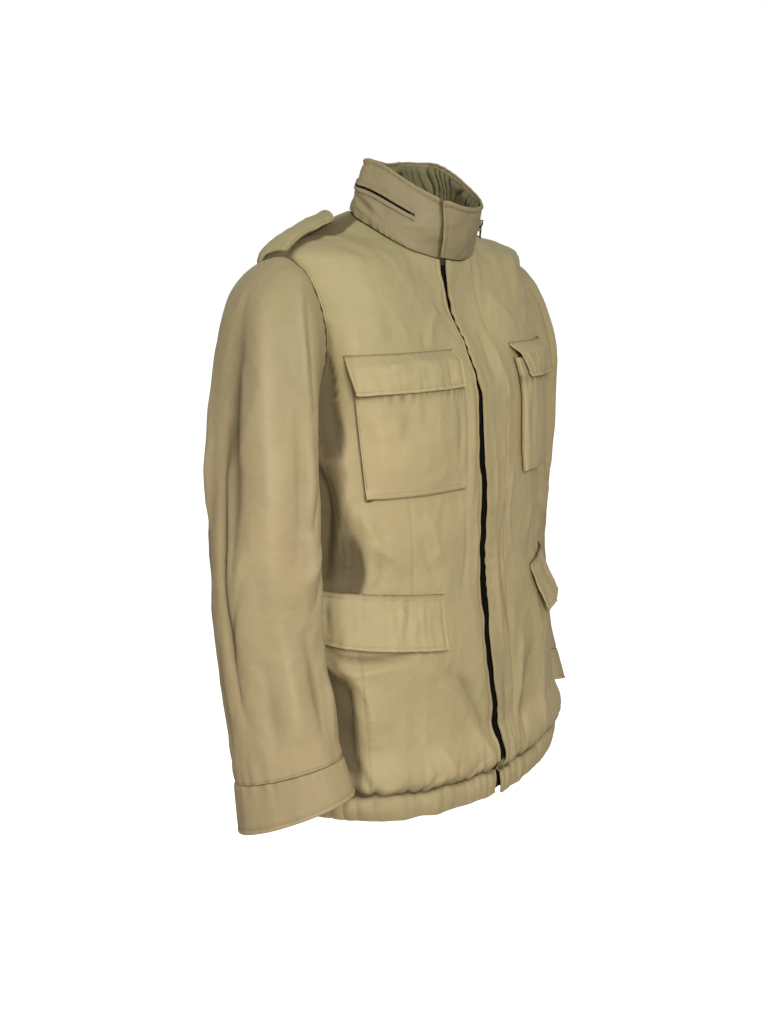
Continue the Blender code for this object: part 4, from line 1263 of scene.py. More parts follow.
def side_places():
    """Turns and levels over the left side panel, up to the low part of the armhole."""
    first, last = armhole(FRONT_SEAM_ANGLE)[0], armhole(BACK_SEAM_ANGLE)[0]
    across = spaced(SIDE_WIDTH, 0.0040)
    top_turn = first + (last - first) * across
    reach = np.where(top_turn < ARM_TURN, ARM_FRONT, ARM_BACK)
    top_level = ARM_MIDDLE - ARM_HALF * np.sqrt(1 - ((ARM_TURN - top_turn) / reach) ** 2)
    level = HEM_TOP + (top_level - HEM_TOP) * spaced(SIDE_HEIGHT, 0.0038)[:, None]
    low = seam_turn(level, FRONT_SEAM_ANGLE, SEAM_FOOT_TURN) + HALF_GAP
    high = seam_turn(level, BACK_SEAM_ANGLE, BACK_SEAM_FOOT_TURN) - HALF_GAP
    return low + (high - low) * across, level


def make_side(name, side):
    """The side panel, whose turned-in strips run under the front and the back."""
    turn, level = side_places()
    strip = TURNING / DEGREE
    turn = np.concatenate([turn[:, :1] - strip[::-1], turn, turn[:, -1:] + strip], axis=1)
    level = np.concatenate([level[:, :1] + 0 * strip, level, level[:, -1:] + 0 * strip], axis=1)
    under = np.zeros(turn.shape[1])
    under[: len(strip)] = under[-len(strip) :] = TURNING_DEPTH
    if side < 0:
        turn, level = -turn[:, ::-1], level[:, ::-1]
    cloth = Cloth(body_cloth(turn, level, -under + 0 * turn))
    cloth.hollow = body_painted_shade(turn, level)
    cloth.tuck("top", 0.0006, 0.005)
    sew_up(name, cloth, WALL, SHELL)


HEM_WALL = 0.004
HEM_LENGTH = 1.30
HEM_TURNING = np.array([0.0015, 0.0050, 0.0090])  # the band's turned-in strip, above its seam


def make_hem():
    """The band round the hem, drawn in along its seam, with a strip turned up inside."""
    share = spaced(HEM_TOP - GAP - HEM_BOTTOM, 0.0026)
    level = HEM_BOTTOM + (HEM_TOP - GAP - HEM_BOTTOM) * share
    seam_row = len(level) - 1
    level = np.concatenate([level, HEM_TOP + HEM_TURNING])[:, None]
    start = turn_at(left_edge_x(level), level)
    end = turn_at(right_edge_x(level), level) + 360
    turn = start + (end - start) * spaced(HEM_LENGTH, 0.0029)
    level = level + 0 * turn
    hollow, phase = hem_gather(turn)
    height = np.clip((level - HEM_BOTTOM) / (HEM_TOP - HEM_BOTTOM), 0, 1)
    lift = np.where(turn < 90, placket_lift(np.minimum(turn, 89.9), level), 0.0)
    out = lift + 0.0016 - 0.0026 * hollow * height + 0.0016 * np.sin(np.pi * height)
    out = np.where(level > HEM_TOP, lift - 0.0052, out)
    points = body_cloth(turn, level, out)
    points[..., 2] -= (1 - height) * (0.0012 * hollow - 0.0005 * np.sin(phase * 2.3))
    cloth = Cloth(points)
    # Painted shade in the gathers and along the band's seam, and a faint painted highlight
    # elsewhere.
    cloth.hollow = hollow * (0.3 + 0.7 * height) - 0.1 + 0.9 * ramp(height, 0.86, 1.0)
    sew_up("hem_band", cloth, HEM_WALL, SHELL, 0.0008)
    stitching("hem_band", [(cloth.row_line(seam_row - 2), 0.003, 0.003)])


# ---------------------------------------------------------------- sleeves

# On a sleeve, by angle (0 outermost, 90 in front, 180 next to the body) and by metres
# down from the armhole.
SLEEVE_DEGREE = 0.00128
SLEEVE_CREASES = creases(
    (((342, 0.070), (337, 0.170), (344, 0.250), (338, 0.330)), 0.016, -0.0052, 0.25),
    (((328, 0.180), (325, 0.300), (324, 0.410), (330, 0.480)), 0.011, -0.0056, -0.2),
    (((333, 0.210), (334, 0.300), (331, 0.390)), 0.005, 0.0020),
    (((350, 0.330), (336, 0.375), (322, 0.420)), 0.008, -0.0030, 0.3),
    (((354, 0.300), (342, 0.350), (336, 0.400)), 0.010, 0.0022),
    (((4, 0.060), (10, 0.158), (18, 0.255), (20, 0.350)), 0.024, 0.0040),
    (((34, 0.018), (50, 0.080), (64, 0.140)), 0.014, 0.0022),
    (((48, 0.030), (62, 0.070), (74, 0.120)), 0.011, -0.0020),
    (((40, 0.120), (47, 0.220), (44, 0.330)), 0.018, -0.0034),
    (((66, 0.130), (64, 0.220), (68, 0.320)), 0.016, 0.0030),
    (((86, 0.190), (70, 0.240), (52, 0.262)), 0.011, -0.0026, 0.3),
    (((90, 0.245), (72, 0.290), (54, 0.318)), 0.010, 0.0020),
    (((92, 0.280), (78, 0.325), (60, 0.350)), 0.010, -0.0022, 0.3),
    (((22, 0.360), (28, 0.430), (24, 0.510)), 0.020, 0.0028),
    (((52, 0.370), (58, 0.440), (56, 0.515)), 0.013, -0.0032, 0.2),
    (((74, 0.400), (80, 0.460), (76, 0.520)), 0.012, 0.0024),
    (((2, 0.410), (4, 0.460), (0, 0.525)), 0.012, -0.0020),
    (((300, 0.080), (294, 0.200), (300, 0.320)), 0.018, 0.0034),
    (((280, 0.120), (276, 0.230), (284, 0.360)), 0.016, -0.0042),
    (((256, 0.100), (252, 0.240), (260, 0.380)), 0.018, 0.0034),
    (((232, 0.160), (228, 0.280), (236, 0.430)), 0.015, -0.0036),
    (((300, 0.400), (292, 0.450), (298, 0.520)), 0.014, -0.0030),
    (((268, 0.400), (262, 0.460), (268, 0.520)), 0.013, 0.0026),
    (((196, 0.060), (178, 0.100), (160, 0.110)), 0.011, -0.0030),
    (((205, 0.100), (184, 0.140), (166, 0.150)), 0.011, 0.0020),
    (((150, 0.160), (142, 0.250), (148, 0.340)), 0.014, -0.0028),
    (((122, 0.080), (118, 0.170), (124, 0.260)), 0.013, 0.0022),
    (((130, 0.330), (124, 0.420), (130, 0.510)), 0.013, 0.0022),
)
LEFT_SLEEVE_CREASES = tuple(
    crease._replace(
        path=tuple((angle + 7, down + 0.010 * math.sin(angle)) for angle, down in crease.path),
        rise=crease.rise * 0.88,
    )
    for crease in SLEEVE_CREASES
)


def sleeve_ring(row, angles, swing):
    """A loop in the plane of the row's outermost and innermost points."""
    angles = np.radians(angles)
    drop = -(row.outer_z + row.inner_z) / 2
    moved = ramp(drop, SWING_START, SWING_END)
    middle_x = (row.outer_x + row.inner_x) / 2 + swing.out * moved
    middle = np.array([middle_x, row.middle_y - swing.ahead * moved, -drop])
    across = np.array([row.outer_x - row.inner_x, 0.0, row.outer_z - row.inner_z]) / 2
    half = np.linalg.norm(across)
    across /= half
    forward = unit(np.array([0.0, -row.front_depth, row.rise]))
    turned = math.radians(row.turn_in)
    out = across * math.cos(turned) + forward * math.sin(turned)
    ahead = forward * math.cos(turned) - across * math.sin(turned)
    depth = np.where(np.sin(angles) > 0, row.front_depth, row.back_depth)
    return middle + np.outer(half * np.cos(angles), out) + np.outer(depth * np.sin(angles), ahead)


def armhole_rim(angles, side):
    """The sleeve's top edge, a gap inside the armhole's edge, as a left sleeve's."""
    turn, level = armhole(angles)
    rim = body_cloth(side * turn, level) * np.array([side, 1.0, 1.0])
    normal = face_out(turn, level)
    along = np.roll(rim, -1, axis=0) - np.roll(rim, 1, axis=0)
    into = unit(np.cross(along, normal))
    into *= np.sign(((rim.mean(axis=0) - rim) * into).sum(axis=-1, keepdims=True))
    return rim + into * SEAM_GAP


SLEEVE_COLUMNS = 138  # points round a sleeve
SLEEVE_DEPTH = 1.7  # all of a sleeve's creases are deepened by this
# The cuff's creases are those at the sleeve's foot, drawn out along it.
CUFF_FROM, CUFF_SHARE = 0.515, 0.2


def sleeve_rows(rings):
    """How far down each ring lies from the first, by their mean distance."""
    return np.insert(np.cumsum(np.linalg.norm(np.diff(rings, axis=0), axis=-1).mean(axis=1)), 0, 0)


def placed_rings(rings, step):
    """A close grid through some rings, bottom row first, and how far down each row is."""
    down = sleeve_rows(rings)
    where = down[-1] * (1 - spaced(down[-1], step))
    grid = between(down, rings, where)
    return np.concatenate([grid, grid[:, :1]], axis=1), where


def with_turning(band):
    """Adds a strip above a band's top edge that runs up inside the cloth above it."""
    up = unit(band.points[-1] - band.points[-2])
    inside = band.points[-1] - band.normals()[-1] * TURNING_DEPTH
    strip = inside[None] + up[None] * TURNING[:, None, None]
    turned = Cloth(np.concatenate([band.points, strip]), looped=band.looped)
    # The turned-in strip gets painted shade.
    turned.hollow = np.concatenate([band.hollow, 0.6 + 0 * strip[..., 0]])
    return turned


def make_sleeve(side, swing, folds):
    """A sleeve and its cuff, each a closed band whose top strip runs up inside its seam."""
    name = "left" if side > 0 else "right"
    angles = np.linspace(360, 0, SLEEVE_COLUMNS, endpoint=False)
    closed = np.append(angles, 0.0)
    rings = [sleeve_ring(row, angles, swing) for row in SLEEVE + CUFF]
    sleeve_rings = np.stack([armhole_rim(angles, side), *rings[: len(SLEEVE)]])
    points, down = placed_rings(sleeve_rings, 0.0034)
    cuff, cuff_down = placed_rings(np.stack(rings[len(SLEEVE) :]), 0.0027)
    if side < 0:
        points, cuff = points[:, ::-1] * OTHER_SIDE, cuff[:, ::-1] * OTHER_SIDE
        closed = closed[::-1]
    cloth = Cloth(points, looped=True)
    rise = creased(folds, closed[None], down[:, None], SLEEVE_DEGREE, 360.0)
    free = ramp(down, 0.0, 0.020)[:, None]
    cloth.push(SLEEVE_DEPTH * rise * free, 0.9)
    cloth.push(free * cloth_relief(cloth.points), 0.3)
    head = 0.0022 * ramp(down, 0.0, 0.010) * (1 - ramp(down, 0.018, 0.060))
    cloth.push(head[:, None] + 0 * rise, 0.0)
    cloth.tuck("top", 0.0006, 0.004)
    cloth.pucker("top", 0.019, 0.0007, 0.012, 1.5)
    cloth.pucker("foot", 0.014, 0.0016, 0.018, 2.5)
    cloth.tuck("foot", 0.0009, 0.004)
    cloth = with_turning(cloth)
    sleeve = name + "_sleeve"
    sew_up(sleeve, cloth, WALL, SHADED_SLEEVE_SHELL)
    stitching(sleeve, [(cloth.line("foot", EDGE_STITCH), 0.0, 0.0)])

    band = Cloth(cuff, looped=True)
    along = CUFF_FROM - CUFF_SHARE * cuff_down[:, None]
    carried = creased(folds, closed[None], along, SLEEVE_DEGREE, 360.0)
    band.push(0.0006 + 0.8 * carried, 0.6)
    band.push(waves(band.points, (0.028, 0.028, 0.050), 0.0016), 0.4)
    band.pucker("top", 0.014, 0.0014, 0.014, 2.5)
    band.pucker("foot", 0.010, 0.0005, 0.008, 0.7)
    band.tuck("top", 0.0008, 0.004)
    band.topstitch("foot")
    # Painted shade over the whole cuff.
    band.darken(0.35)
    band = with_turning(band)
    sew_up(name + "_cuff", band, WALL, SHADED_SLEEVE_SHELL, 0.0006)
    stitching(name + "_cuff", [(band.line("foot"), 0.0, 0.0)])


# ---------------------------------------------------------------- the collar

COLLAR_TOP = Ring(0.065, 0.003, 0.062, 0.071, 0.112, 0.017, 2.7, 2.1)
COLLAR_START = -22.0
COLLAR_END = 363.0
COLLAR_HEIGHT = 0.075
COLLAR_LENGTH, LINING_LENGTH, ZIP_LENGTH = 0.60, 0.50, 0.44
COLLAR_LIFT = 0.0048
COLLAR_GAP = 0.0009
COLLAR_BULGE = 0.003
END_SLANT = 3.5  # how much further the left end's top reaches than its foot, in degrees
CORNER_TURN = 5.0  # how far the rounded corner at the collar's left end reaches
ZIP_SHARE = 0.53
ZIP_HALF = 0.0010
LIP_INNER, LIP_OUTER = 0.0013, 0.0068
LIP_WALL = 0.0016
LIP_STITCH = 0.0012
TOOTH_PITCH = 0.0015
ZIP_TAPE_WALL = 0.0010
ZIP_GAP = 0.0010
ZIP_START, ZIP_END = 24.2, 316.8
LINING_START, LINING_END = 8.8, 347.6
LINING_TOP = 0.93


def collar_lift(turn):
    """How far the collar's left front end stands out over its right one."""
    return COLLAR_LIFT * (1 - ramp(turn, 5.0, 32.0))


def collar_top(turn):
    """The collar's top edge, before it passes over itself."""
    angle = np.radians(turn)
    across, ahead = np.sin(angle), np.cos(angle)
    reach = loop_reach(across, ahead, COLLAR_TOP)
    end_height = np.where(ahead > 0, COLLAR_TOP.front, COLLAR_TOP.back)
    height = COLLAR_TOP.side + (end_height - COLLAR_TOP.side) * ahead**2
    return np.stack([reach * across, -reach * ahead, height], axis=-1)


# On the collar, by turn and by metres up from the neck seam.
COLLAR_CREASES = creases(
    (((258, 0.030), (270, 0.022), (284, 0.014)), 0.0050, -0.0028, 0.3),
    (((262, 0.020), (276, 0.013), (290, 0.008)), 0.0045, 0.0018),
    (((270, 0.032), (282, 0.025), (296, 0.016)), 0.0040, 0.0014),
    (((250, 0.028), (262, 0.012)), 0.0050, -0.0022),
    (((300, 0.012), (312, 0.026), (330, 0.034)), 0.0090, 0.0016),
    (((318, 0.006), (330, 0.018), (345, 0.024)), 0.0080, -0.0016),
    (((225, 0.060), (245, 0.056), (268, 0.060)), 0.0080, 0.0014),
    (((352, 0.008), (349, 0.030), (352, 0.050)), 0.0060, -0.0020),
    (((-6, 0.006), (-1, 0.024), (-4, 0.046)), 0.0060, 0.0012),
    (((14, 0.006), (10, 0.020), (13, 0.034)), 0.0060, -0.0018),
    (((60, 0.012), (75, 0.024), (92, 0.026)), 0.0070, -0.0016),
    (((110, 0.010), (125, 0.022), (140, 0.024)), 0.0080, 0.0016),
    (((150, 0.008), (165, 0.020), (182, 0.022)), 0.0070, -0.0016),
    (((196, 0.012), (210, 0.024), (222, 0.020)), 0.0070, 0.0016),
)
COLLAR_DEGREE = 0.0022
COLLAR_DEPTH = 1.5  # all of the collar's creases are deepened by this


def collar_rise(turn, share):
    """How far the collar's creases lift it."""
    return COLLAR_DEPTH * creased(COLLAR_CREASES, turn, share * COLLAR_HEIGHT, COLLAR_DEGREE)


def collar_cloth(turn, share, out=0.0):
    """A point out from the creased collar; share is 0 at the neck seam and 1 at its top edge."""
    turn, share = np.broadcast_arrays(np.asarray(turn, float), share)
    lift, way = collar_lift(turn), outward(turn)
    foot = body_cloth(turn, 0.0 * turn, lift) + COLLAR_GAP * UP
    top = collar_top(turn) + way * lift[..., None]
    swell = COLLAR_BULGE * np.sin(np.pi * share) + collar_rise(turn, share) + out
    return foot + (top - foot) * share[..., None] + way * swell[..., None]


TOP_STITCH, END_STITCH = 0.0075, 0.0070  # how far in the collar's stitches lie


def make_collar():
    """The stand collar; its left end has a rounded corner and passes over its right end."""
    turns = COLLAR_START + (COLLAR_END - COLLAR_START) * spaced(COLLAR_LENGTH, 0.0026)
    share = spaced(COLLAR_HEIGHT, 0.0024)[:, None]
    past = np.clip(1 - (turns - COLLAR_START) / CORNER_TURN, 0, 1)
    reach = 1 - 0.10 * (1 - np.sqrt(1 - past**2))
    turns = turns - END_SLANT * share * (1 - ramp(turns - COLLAR_START, 0.0, 24.0))
    cloth = Cloth(collar_cloth(turns, share * reach))
    # Painted shade over the collar, deeper in its creases.
    cloth.hollow = 0.15 - collar_rise(turns, share) / DEEP
    # The right end is in the shade of the left one, most of all close beside it.
    clear = (360 + COLLAR_START - END_SLANT * share - turns) * COLLAR_DEGREE
    cloth.darken(1.3 * bell(np.maximum(clear, 0), 0.0024) * ramp(clear, -0.03, -0.02))
    cloth.push(waves(cloth.points, EVEN_WAVE, 0.0012), 0.4)
    cloth.push(crumple(cloth.points, (0.026, 0.026, 0.018), 0.0011), 0.9)
    cloth.topstitch("top", TOP_STITCH, 0.0015, 0.0013)
    cloth.topstitch("left", END_STITCH, 0.0013, 0.0012)
    cloth.pucker("foot", 0.013, 0.0012, 0.010, 1.0)
    cloth.pucker("top", 0.015, 0.0006, 0.012, 2.0)
    cloth.tuck("foot", 0.0010, 0.005)
    sew_up("collar", cloth, WALL, SHADED_COLLAR_SHELL, 0.0008)
    top = (cloth.line("top", TOP_STITCH), END_STITCH, 0.004)
    end = (cloth.line("left", END_STITCH), 0.003, TOP_STITCH)
    stitching("collar", [top, end])


LINING_PITCH = 0.0185  # how far apart the lining's folds lie
LINING_FOLD_HALF = 0.15  # half a fold's width, as a share of the pitch
STRIP_PULL = np.array([1.1, 1.1, 0.8])  # how far its sewn-in strip is drawn under the left end


def make_lining():
    """The gathered lining inside the neck, with the strip by which it is sewn in."""
    turns = LINING_START + (LINING_END - LINING_START) * spaced(LINING_LENGTH, 0.0022)
    share = LINING_TOP * spaced(COLLAR_HEIGHT * LINING_TOP, 0.0028)[:, None]
    run = turns * COLLAR_DEGREE
    phase = run / LINING_PITCH + 0.70 * np.sin(run / 0.031) + 0.40 * np.sin(run / 0.0131 + 0.7)
    drift = 0.55 * np.sin(share * 4.2 + run / 0.037) + 0.2 * np.sin(share * 9.0 + run / 0.019)
    away = np.abs(phase + drift - np.round(phase + drift))
    hollow = bell(away, LINING_FOLD_HALF) * (0.85 + 0.30 * np.sin(run / 0.027 + 3.0 * share))
    held = ramp(share, 0.0, 0.18) * (1 - 0.75 * ramp(share, LINING_TOP - 0.10, LINING_TOP))
    depth = (0.0056 + 0.0016 * np.sin(run / 0.04 + 1.0)) * held
    out = -WALL - GAP - depth * (1 - hollow)
    points = collar_cloth(turns[None], share, out)
    inwards = -outward(turns) * collar_lift(turns)[:, None]
    pulled = points[:1] + inwards * STRIP_PULL[:, None, None]
    cloth = Cloth(np.concatenate([pulled - UP * TURNING[::-1, None, None], points]))
    shade = (hollow * 2.1 - 0.05) * (0.3 + 0.7 * held)
    cloth.hollow = np.concatenate([np.full((len(TURNING), shade.shape[1]), 1.6), shade])
    sew_up("collar_lining", cloth, 0.0018, LINING, 0.0006)


def collar_strip(name, low, high, rows, thickness, material, bulge):
    """A strip round the collar, between two distances up from the zip's middle line."""
    turns = ZIP_START + (ZIP_END - ZIP_START) * spaced(ZIP_LENGTH, 0.0026, EDGE_STEPS[:3])
    share = ZIP_SHARE + np.linspace(low, high, rows)[:, None] / COLLAR_HEIGHT
    arch = np.sin(np.pi * np.linspace(0, 1, rows))[:, None]
    cloth = Cloth(collar_cloth(turns[None], share, ZIP_GAP + thickness + bulge * arch))
    cloth.push(waves(cloth.points, EVEN_WAVE, 0.0012), 0.0)
    # Painted shade along the strip's edges.
    cloth.darken(0.35 * (1 - arch))
    sew_up(name, cloth, thickness, material, 0.0003)
    return cloth


def zip_lip(name, low, high):
    """One lip of the collar's slit."""
    return collar_strip(name, low, high, 7, LIP_WALL, SHADED_COLLAR_SHELL, 0.0006)


def stitch_lip(name, lip, edge):
    """The stitches along a lip's outer edge."""
    stitching(name, [(lip.line(edge, LIP_STITCH), 0.002, 0.002)])


def make_collar_zip():
    """The zip round the collar: its two lips, the tape between them and its teeth."""
    upper = zip_lip("collar_zip_upper_lip", LIP_INNER, LIP_OUTER)
    lower = zip_lip("collar_zip_lower_lip", -LIP_OUTER, -LIP_INNER)
    stitch_lip("collar_zip_upper_lip", upper, "top")
    stitch_lip("collar_zip_lower_lip", lower, "foot")
    tape = collar_strip("collar_zip_tape", -ZIP_HALF, ZIP_HALF, 5, ZIP_TAPE_WALL, TAPE, 0.0)
    places = along_line(tape.line("foot", ZIP_HALF), TOOTH_PITCH, 0.002, 0.002)
    teeth = repeated("collar_zip_teeth", TOOTH, places, TEETH, 0.0002)
    attach(teeth, [])
    bar_tacks(upper, lower)


def bar_tacks(upper, lower):
    """Close stitches across each end of the slit."""
    places = []
    for column in (2.0, upper.points.shape[1] - 3.0):
        low, low_out = lower.sample(np.array([0.0]), np.array([column]))
        high, _ = upper.sample(np.array([upper.points.shape[0] - 1.0]), np.array([column]))
        for share in np.linspace(0.0, 1.0, 12):
            at = low[0] + (high[0] - low[0]) * share
            along = np.cross((high[0] - low[0]) / np.linalg.norm(high[0] - low[0]), low_out[0])
            places.append((at + low_out[0] * 0.0004, along, low_out[0]))
    at, ahead, out = (np.array(part) for part in zip(*places))
    item = repeated("collar_bar_tacks", STITCH, (at, ahead, out), THREAD, 0.0003)
    attach(item, [])


def box_at(low, high):
    """A cube between two corners, left in edit mode with all of it selected."""
    low, high = np.array(low), np.array(high)
    bpy.ops.object.select_all(action="DESELECT")
    bpy.ops.mesh.primitive_cube_add(size=1.0)
    item = bpy.context.object
    edit_all()
    bpy.ops.transform.resize(value=tuple(high - low), center_override=(0, 0, 0))
    bpy.ops.transform.translate(value=tuple((low + high) / 2))
    return item


def tooth_shape(width, length, height):
    """One zip tooth with eased edges, on Z = 0."""
    item = box_at((-width / 2, -length / 2, 0), (width / 2, length / 2, height))
    bpy.ops.mesh.bevel(offset=width * 0.22, segments=1)
    return as_shape(item)


TOOTH = tooth_shape(0.0009, 0.0022, 0.0007)
FRONT_TOOTH = tooth_shape(0.0018, 0.0046, 0.0014)

# The slider's foot on the zip, and how the slider and its pull are sized: along the
# zip, up the collar and out from it.
SLIDER_TURN = 33.0
SLIDER_FOOT = 0.0024
SLIDER_SIZE = (0.0080, 0.0090, 0.0026)
SLIDER_NOSE = 0.62  # how wide its narrow end is, as a share of the other
SLIDER_RIM = 0.0009
SLIDER_SINK = 0.0004
BAIL_SUNK = 0.0008  # how deep the bail's feet stand in it
BAIL_WIDTH = 0.0020
BAIL_BAR = 0.0012
BAIL_LENGTH = 0.0074
BAIL_RISE = 0.0036
PULL_WIDTH = 0.0058
PULL_LENGTH = 0.0210
PULL_WALL = 0.0012
PULL_RAIL = 0.0012
BAIL_WINDOW = 0.0056
END_WINDOW = 0.0062
END_WINDOW_FROM = 0.0135


def plain_collar_point(turn, share, out=0.0):
    """The collar's smooth form, on which the slider sits."""
    lift, way = collar_lift(turn), outward(turn)
    rise = swelling(np.array([float(turn)]), np.array([0.0]))[0]
    foot = ring_point(turn, 0.0) + face_out(turn, 0.0) * (lift + rise) + COLLAR_GAP * UP
    top = collar_top(turn) + way * lift
    return foot + (top - foot) * share + way * (COLLAR_BULGE * math.sin(math.pi * share) + out)


def slider_frame():
    """The slider's foot, and the ways along the zip, up the collar and out of it."""
    turns = [SLIDER_TURN + step for step in (-0.5, 0.5)]
    shares = [ZIP_SHARE + step for step in (-0.1, 0.1)]
    before, past = (plain_collar_point(turn, ZIP_SHARE) for turn in turns)
    below, above = (plain_collar_point(SLIDER_TURN, share) for share in shares)
    along = unit(past - before)
    up = above - below
    up = unit(up - along * (up @ along))
    foot = plain_collar_point(SLIDER_TURN, ZIP_SHARE, SLIDER_FOOT)
    return foot, along, up, np.cross(along, up)


def set_down(item, foot, ways):
    """Moves a piece made at the origin to its place, and leaves its object there."""
    turned = Matrix([(*way, 0) for way in ways] + [(0, 0, 0, 1)]).transposed()
    item.data.transform(turned)
    item.data.transform(Matrix.Translation(Vector(foot)))
    item.data.update()


def pick_faces(item, test):
    """In edit mode: selects the faces whose middle and normal pass a test, and no others."""
    bpy.ops.object.mode_set(mode="OBJECT")
    for part in (item.data.vertices, item.data.edges, item.data.polygons):
        part.foreach_set("select", [False] * len(part))
    for face in item.data.polygons:
        face.select = bool(test(face.center, face.normal))
    bpy.ops.object.mode_set(mode="EDIT")
    bpy.ops.mesh.select_mode(type="FACE")


def make_slider():
    """The slider: a body narrower at one end, with a sunk face and the bail over it."""
    foot, *ways = slider_frame()
    length, height, depth = SLIDER_SIZE
    item = box_at((-length / 2, -height / 2, 0), (length / 2, height / 2, depth))
    pick_faces(item, lambda middle, normal: normal.x < -0.9)
    bpy.ops.transform.resize(value=(1, SLIDER_NOSE, 1), center_override=(0, 0, 0))
    pick_faces(item, lambda middle, normal: normal.z > 0.9)
    bpy.ops.mesh.inset(thickness=SLIDER_RIM)
    bpy.ops.mesh.extrude_region_move(TRANSFORM_OT_translate={"value": (0, 0, -SLIDER_SINK)})
    bpy.ops.object.mode_set(mode="OBJECT")
    half, reach, top = BAIL_WIDTH / 2, BAIL_LENGTH / 2, depth + BAIL_RISE
    under = top - BAIL_BAR
    parts = []
    for low_y, high_y, low_z, high_z in (
        (-reach, -reach + BAIL_BAR, depth - BAIL_SUNK, under),
        (reach - BAIL_BAR, reach, depth - BAIL_SUNK, under),
        (-reach, reach, under - 0.00002, top),
    ):
        parts.append(box_at((-half, low_y, low_z), (half, high_y, high_z)))
        bpy.ops.object.mode_set(mode="OBJECT")
    only(item)
    for part in parts:
        part.select_set(True)
    bpy.ops.object.join()
    item.name = item.data.name = "collar_zip_slider_body"
    eased(item, 0.00028)
    set_down(item, foot, ways)
    wear(item, BLACK_METAL)
    attach(item, ["collar_zip_slider"])


def eased(item, width):
    """Rounds the sharp edges and smooths the shading between them."""
    sharp = math.radians(40)
    only(item)
    edge = item.modifiers.new("edge", "BEVEL")
    edge.width = width
    edge.segments = 3
    edge.angle_limit = sharp
    bpy.ops.object.modifier_apply(modifier="edge")
    bpy.ops.object.shade_smooth_by_angle(angle=sharp)


def make_pull():
    """A flat pull with two windows, hanging straight down from the slider's bar."""
    foot, along, _, out = slider_frame()
    hinge = foot + out * (SLIDER_SIZE[2] + (BAIL_RISE - BAIL_BAR) / 2)
    up = unit(UP - along * along[2])
    half = PULL_WIDTH / 2
    inside = half - PULL_RAIL
    bail_foot = -PULL_RAIL / 2 - BAIL_WINDOW
    end_top, end_foot = -END_WINDOW_FROM, -END_WINDOW_FROM - END_WINDOW
    item = box_at((-half, -PULL_LENGTH, -PULL_WALL / 2), (half, PULL_RAIL / 2, PULL_WALL / 2))
    cuts = [((-inside, 0, 0), (1, 0, 0)), ((inside, 0, 0), (1, 0, 0))]
    cuts += [((0, y, 0), (0, 1, 0)) for y in (-PULL_RAIL / 2, bail_foot, end_top, end_foot)]
    for place, way in cuts:
        bpy.ops.mesh.select_all(action="SELECT")
        bpy.ops.mesh.bisect(plane_co=place, plane_no=way)

    def in_window(middle, normal):
        high = bail_foot < middle.y < -PULL_RAIL / 2
        low = end_foot < middle.y < end_top
        return abs(middle.x) < inside and abs(normal.z) > 0.9 and (high or low)

    pick_faces(item, in_window)
    bpy.ops.mesh.bridge_edge_loops()
    bpy.ops.object.mode_set(mode="OBJECT")
    item.name = item.data.name = "collar_zip_pull_tab"
    eased(item, 0.00026)
    set_down(item, hinge, (along, up, np.cross(along, up)))
    wear(item, BLACK_METAL)
    attach(item, ["collar_zip_pull"], "zip_pull")


# ---------------------------------------------------------------- pockets, flaps and straps

# Where a pocket or flap is sewn, by the turn and height of its corners.
Patch = namedtuple("Patch", "top_in top_out foot_in foot_out")
RIGHT_CHEST_POCKET = Patch((24.5, -0.192), (69.0, -0.192), (23.5, -0.346), (65.0, -0.347))
LEFT_CHEST_POCKET = Patch((30.5, -0.192), (71.0, -0.192), (32.5, -0.345), (68.0, -0.347))
RIGHT_CHEST_FLAP = Patch((26.0, -0.172), (71.5, -0.172), (27.5, -0.219), (68.0, -0.219))
LEFT_CHEST_FLAP = Patch((30.5, -0.172), (72.5, -0.172), (33.5, -0.219), (71.0, -0.219))
RIGHT_LOWER_FLAP = Patch((36.0, -0.476), (79.0, -0.457), (38.0, -0.544), (77.5, -0.524))
LEFT_LOWER_FLAP = Patch((39.0, -0.476), (80.0, -0.457), (40.5, -0.544), (79.0, -0.524))
PATCH_GAP = 0.0012
FLAP_WALL = 0.003
POCKET_FACE = 0.0062
POCKET_PUFF = 0.0040
# How far a flap stands out: over its pocket, at its foot, and there towards its outer corner.
Stands = namedtuple("Stands", "over foot corner")
CHEST_STANDS = Stands(0.0105, 0.004, 0.005)
LEFT_CHEST_STANDS = Stands(0.0105, 0.004, 0.012)
LOWER_STANDS = Stands(0.002, 0.008, -0.005)


def patch_place(patch, inward, down, side):
    """Turn and level at shares in from the patch's inner edge and down from its top."""
    inward, down = np.broadcast_arrays(inward, down)
    inward, down = inward[..., None], down[..., None]
    top = np.array(patch.top_in) * (1 - inward) + np.array(patch.top_out) * inward
    foot = np.array(patch.foot_in) * (1 - inward) + np.array(patch.foot_out) * inward
    place = top * (1 - down) + foot * down
    turn, height = place[..., 0], place[..., 1]
    return side * turn, level_at(turn, height)


# A bellows pocket's rim, from the body outwards: metres in from its edge, and its rise.
BELLOWS = ((0.0030, 0.0000), (0.0065, 0.0012), (0.0060, 0.0035), (0.0012, 0.0050), (0.0, 0.0062))
PLAIN_RIM = ((0.0, 0.0000), (0.0003, 0.0018), (0.0006, 0.0036), (0.0014, 0.0052), (0.0030, 0.0062))
POCKET_WIDTH, POCKET_HEIGHT = 0.140, 0.155
POCKET_WALL = 0.0015
POCKET_STITCH = 0.0125
POCKET_GATHER_PITCH = 0.0085


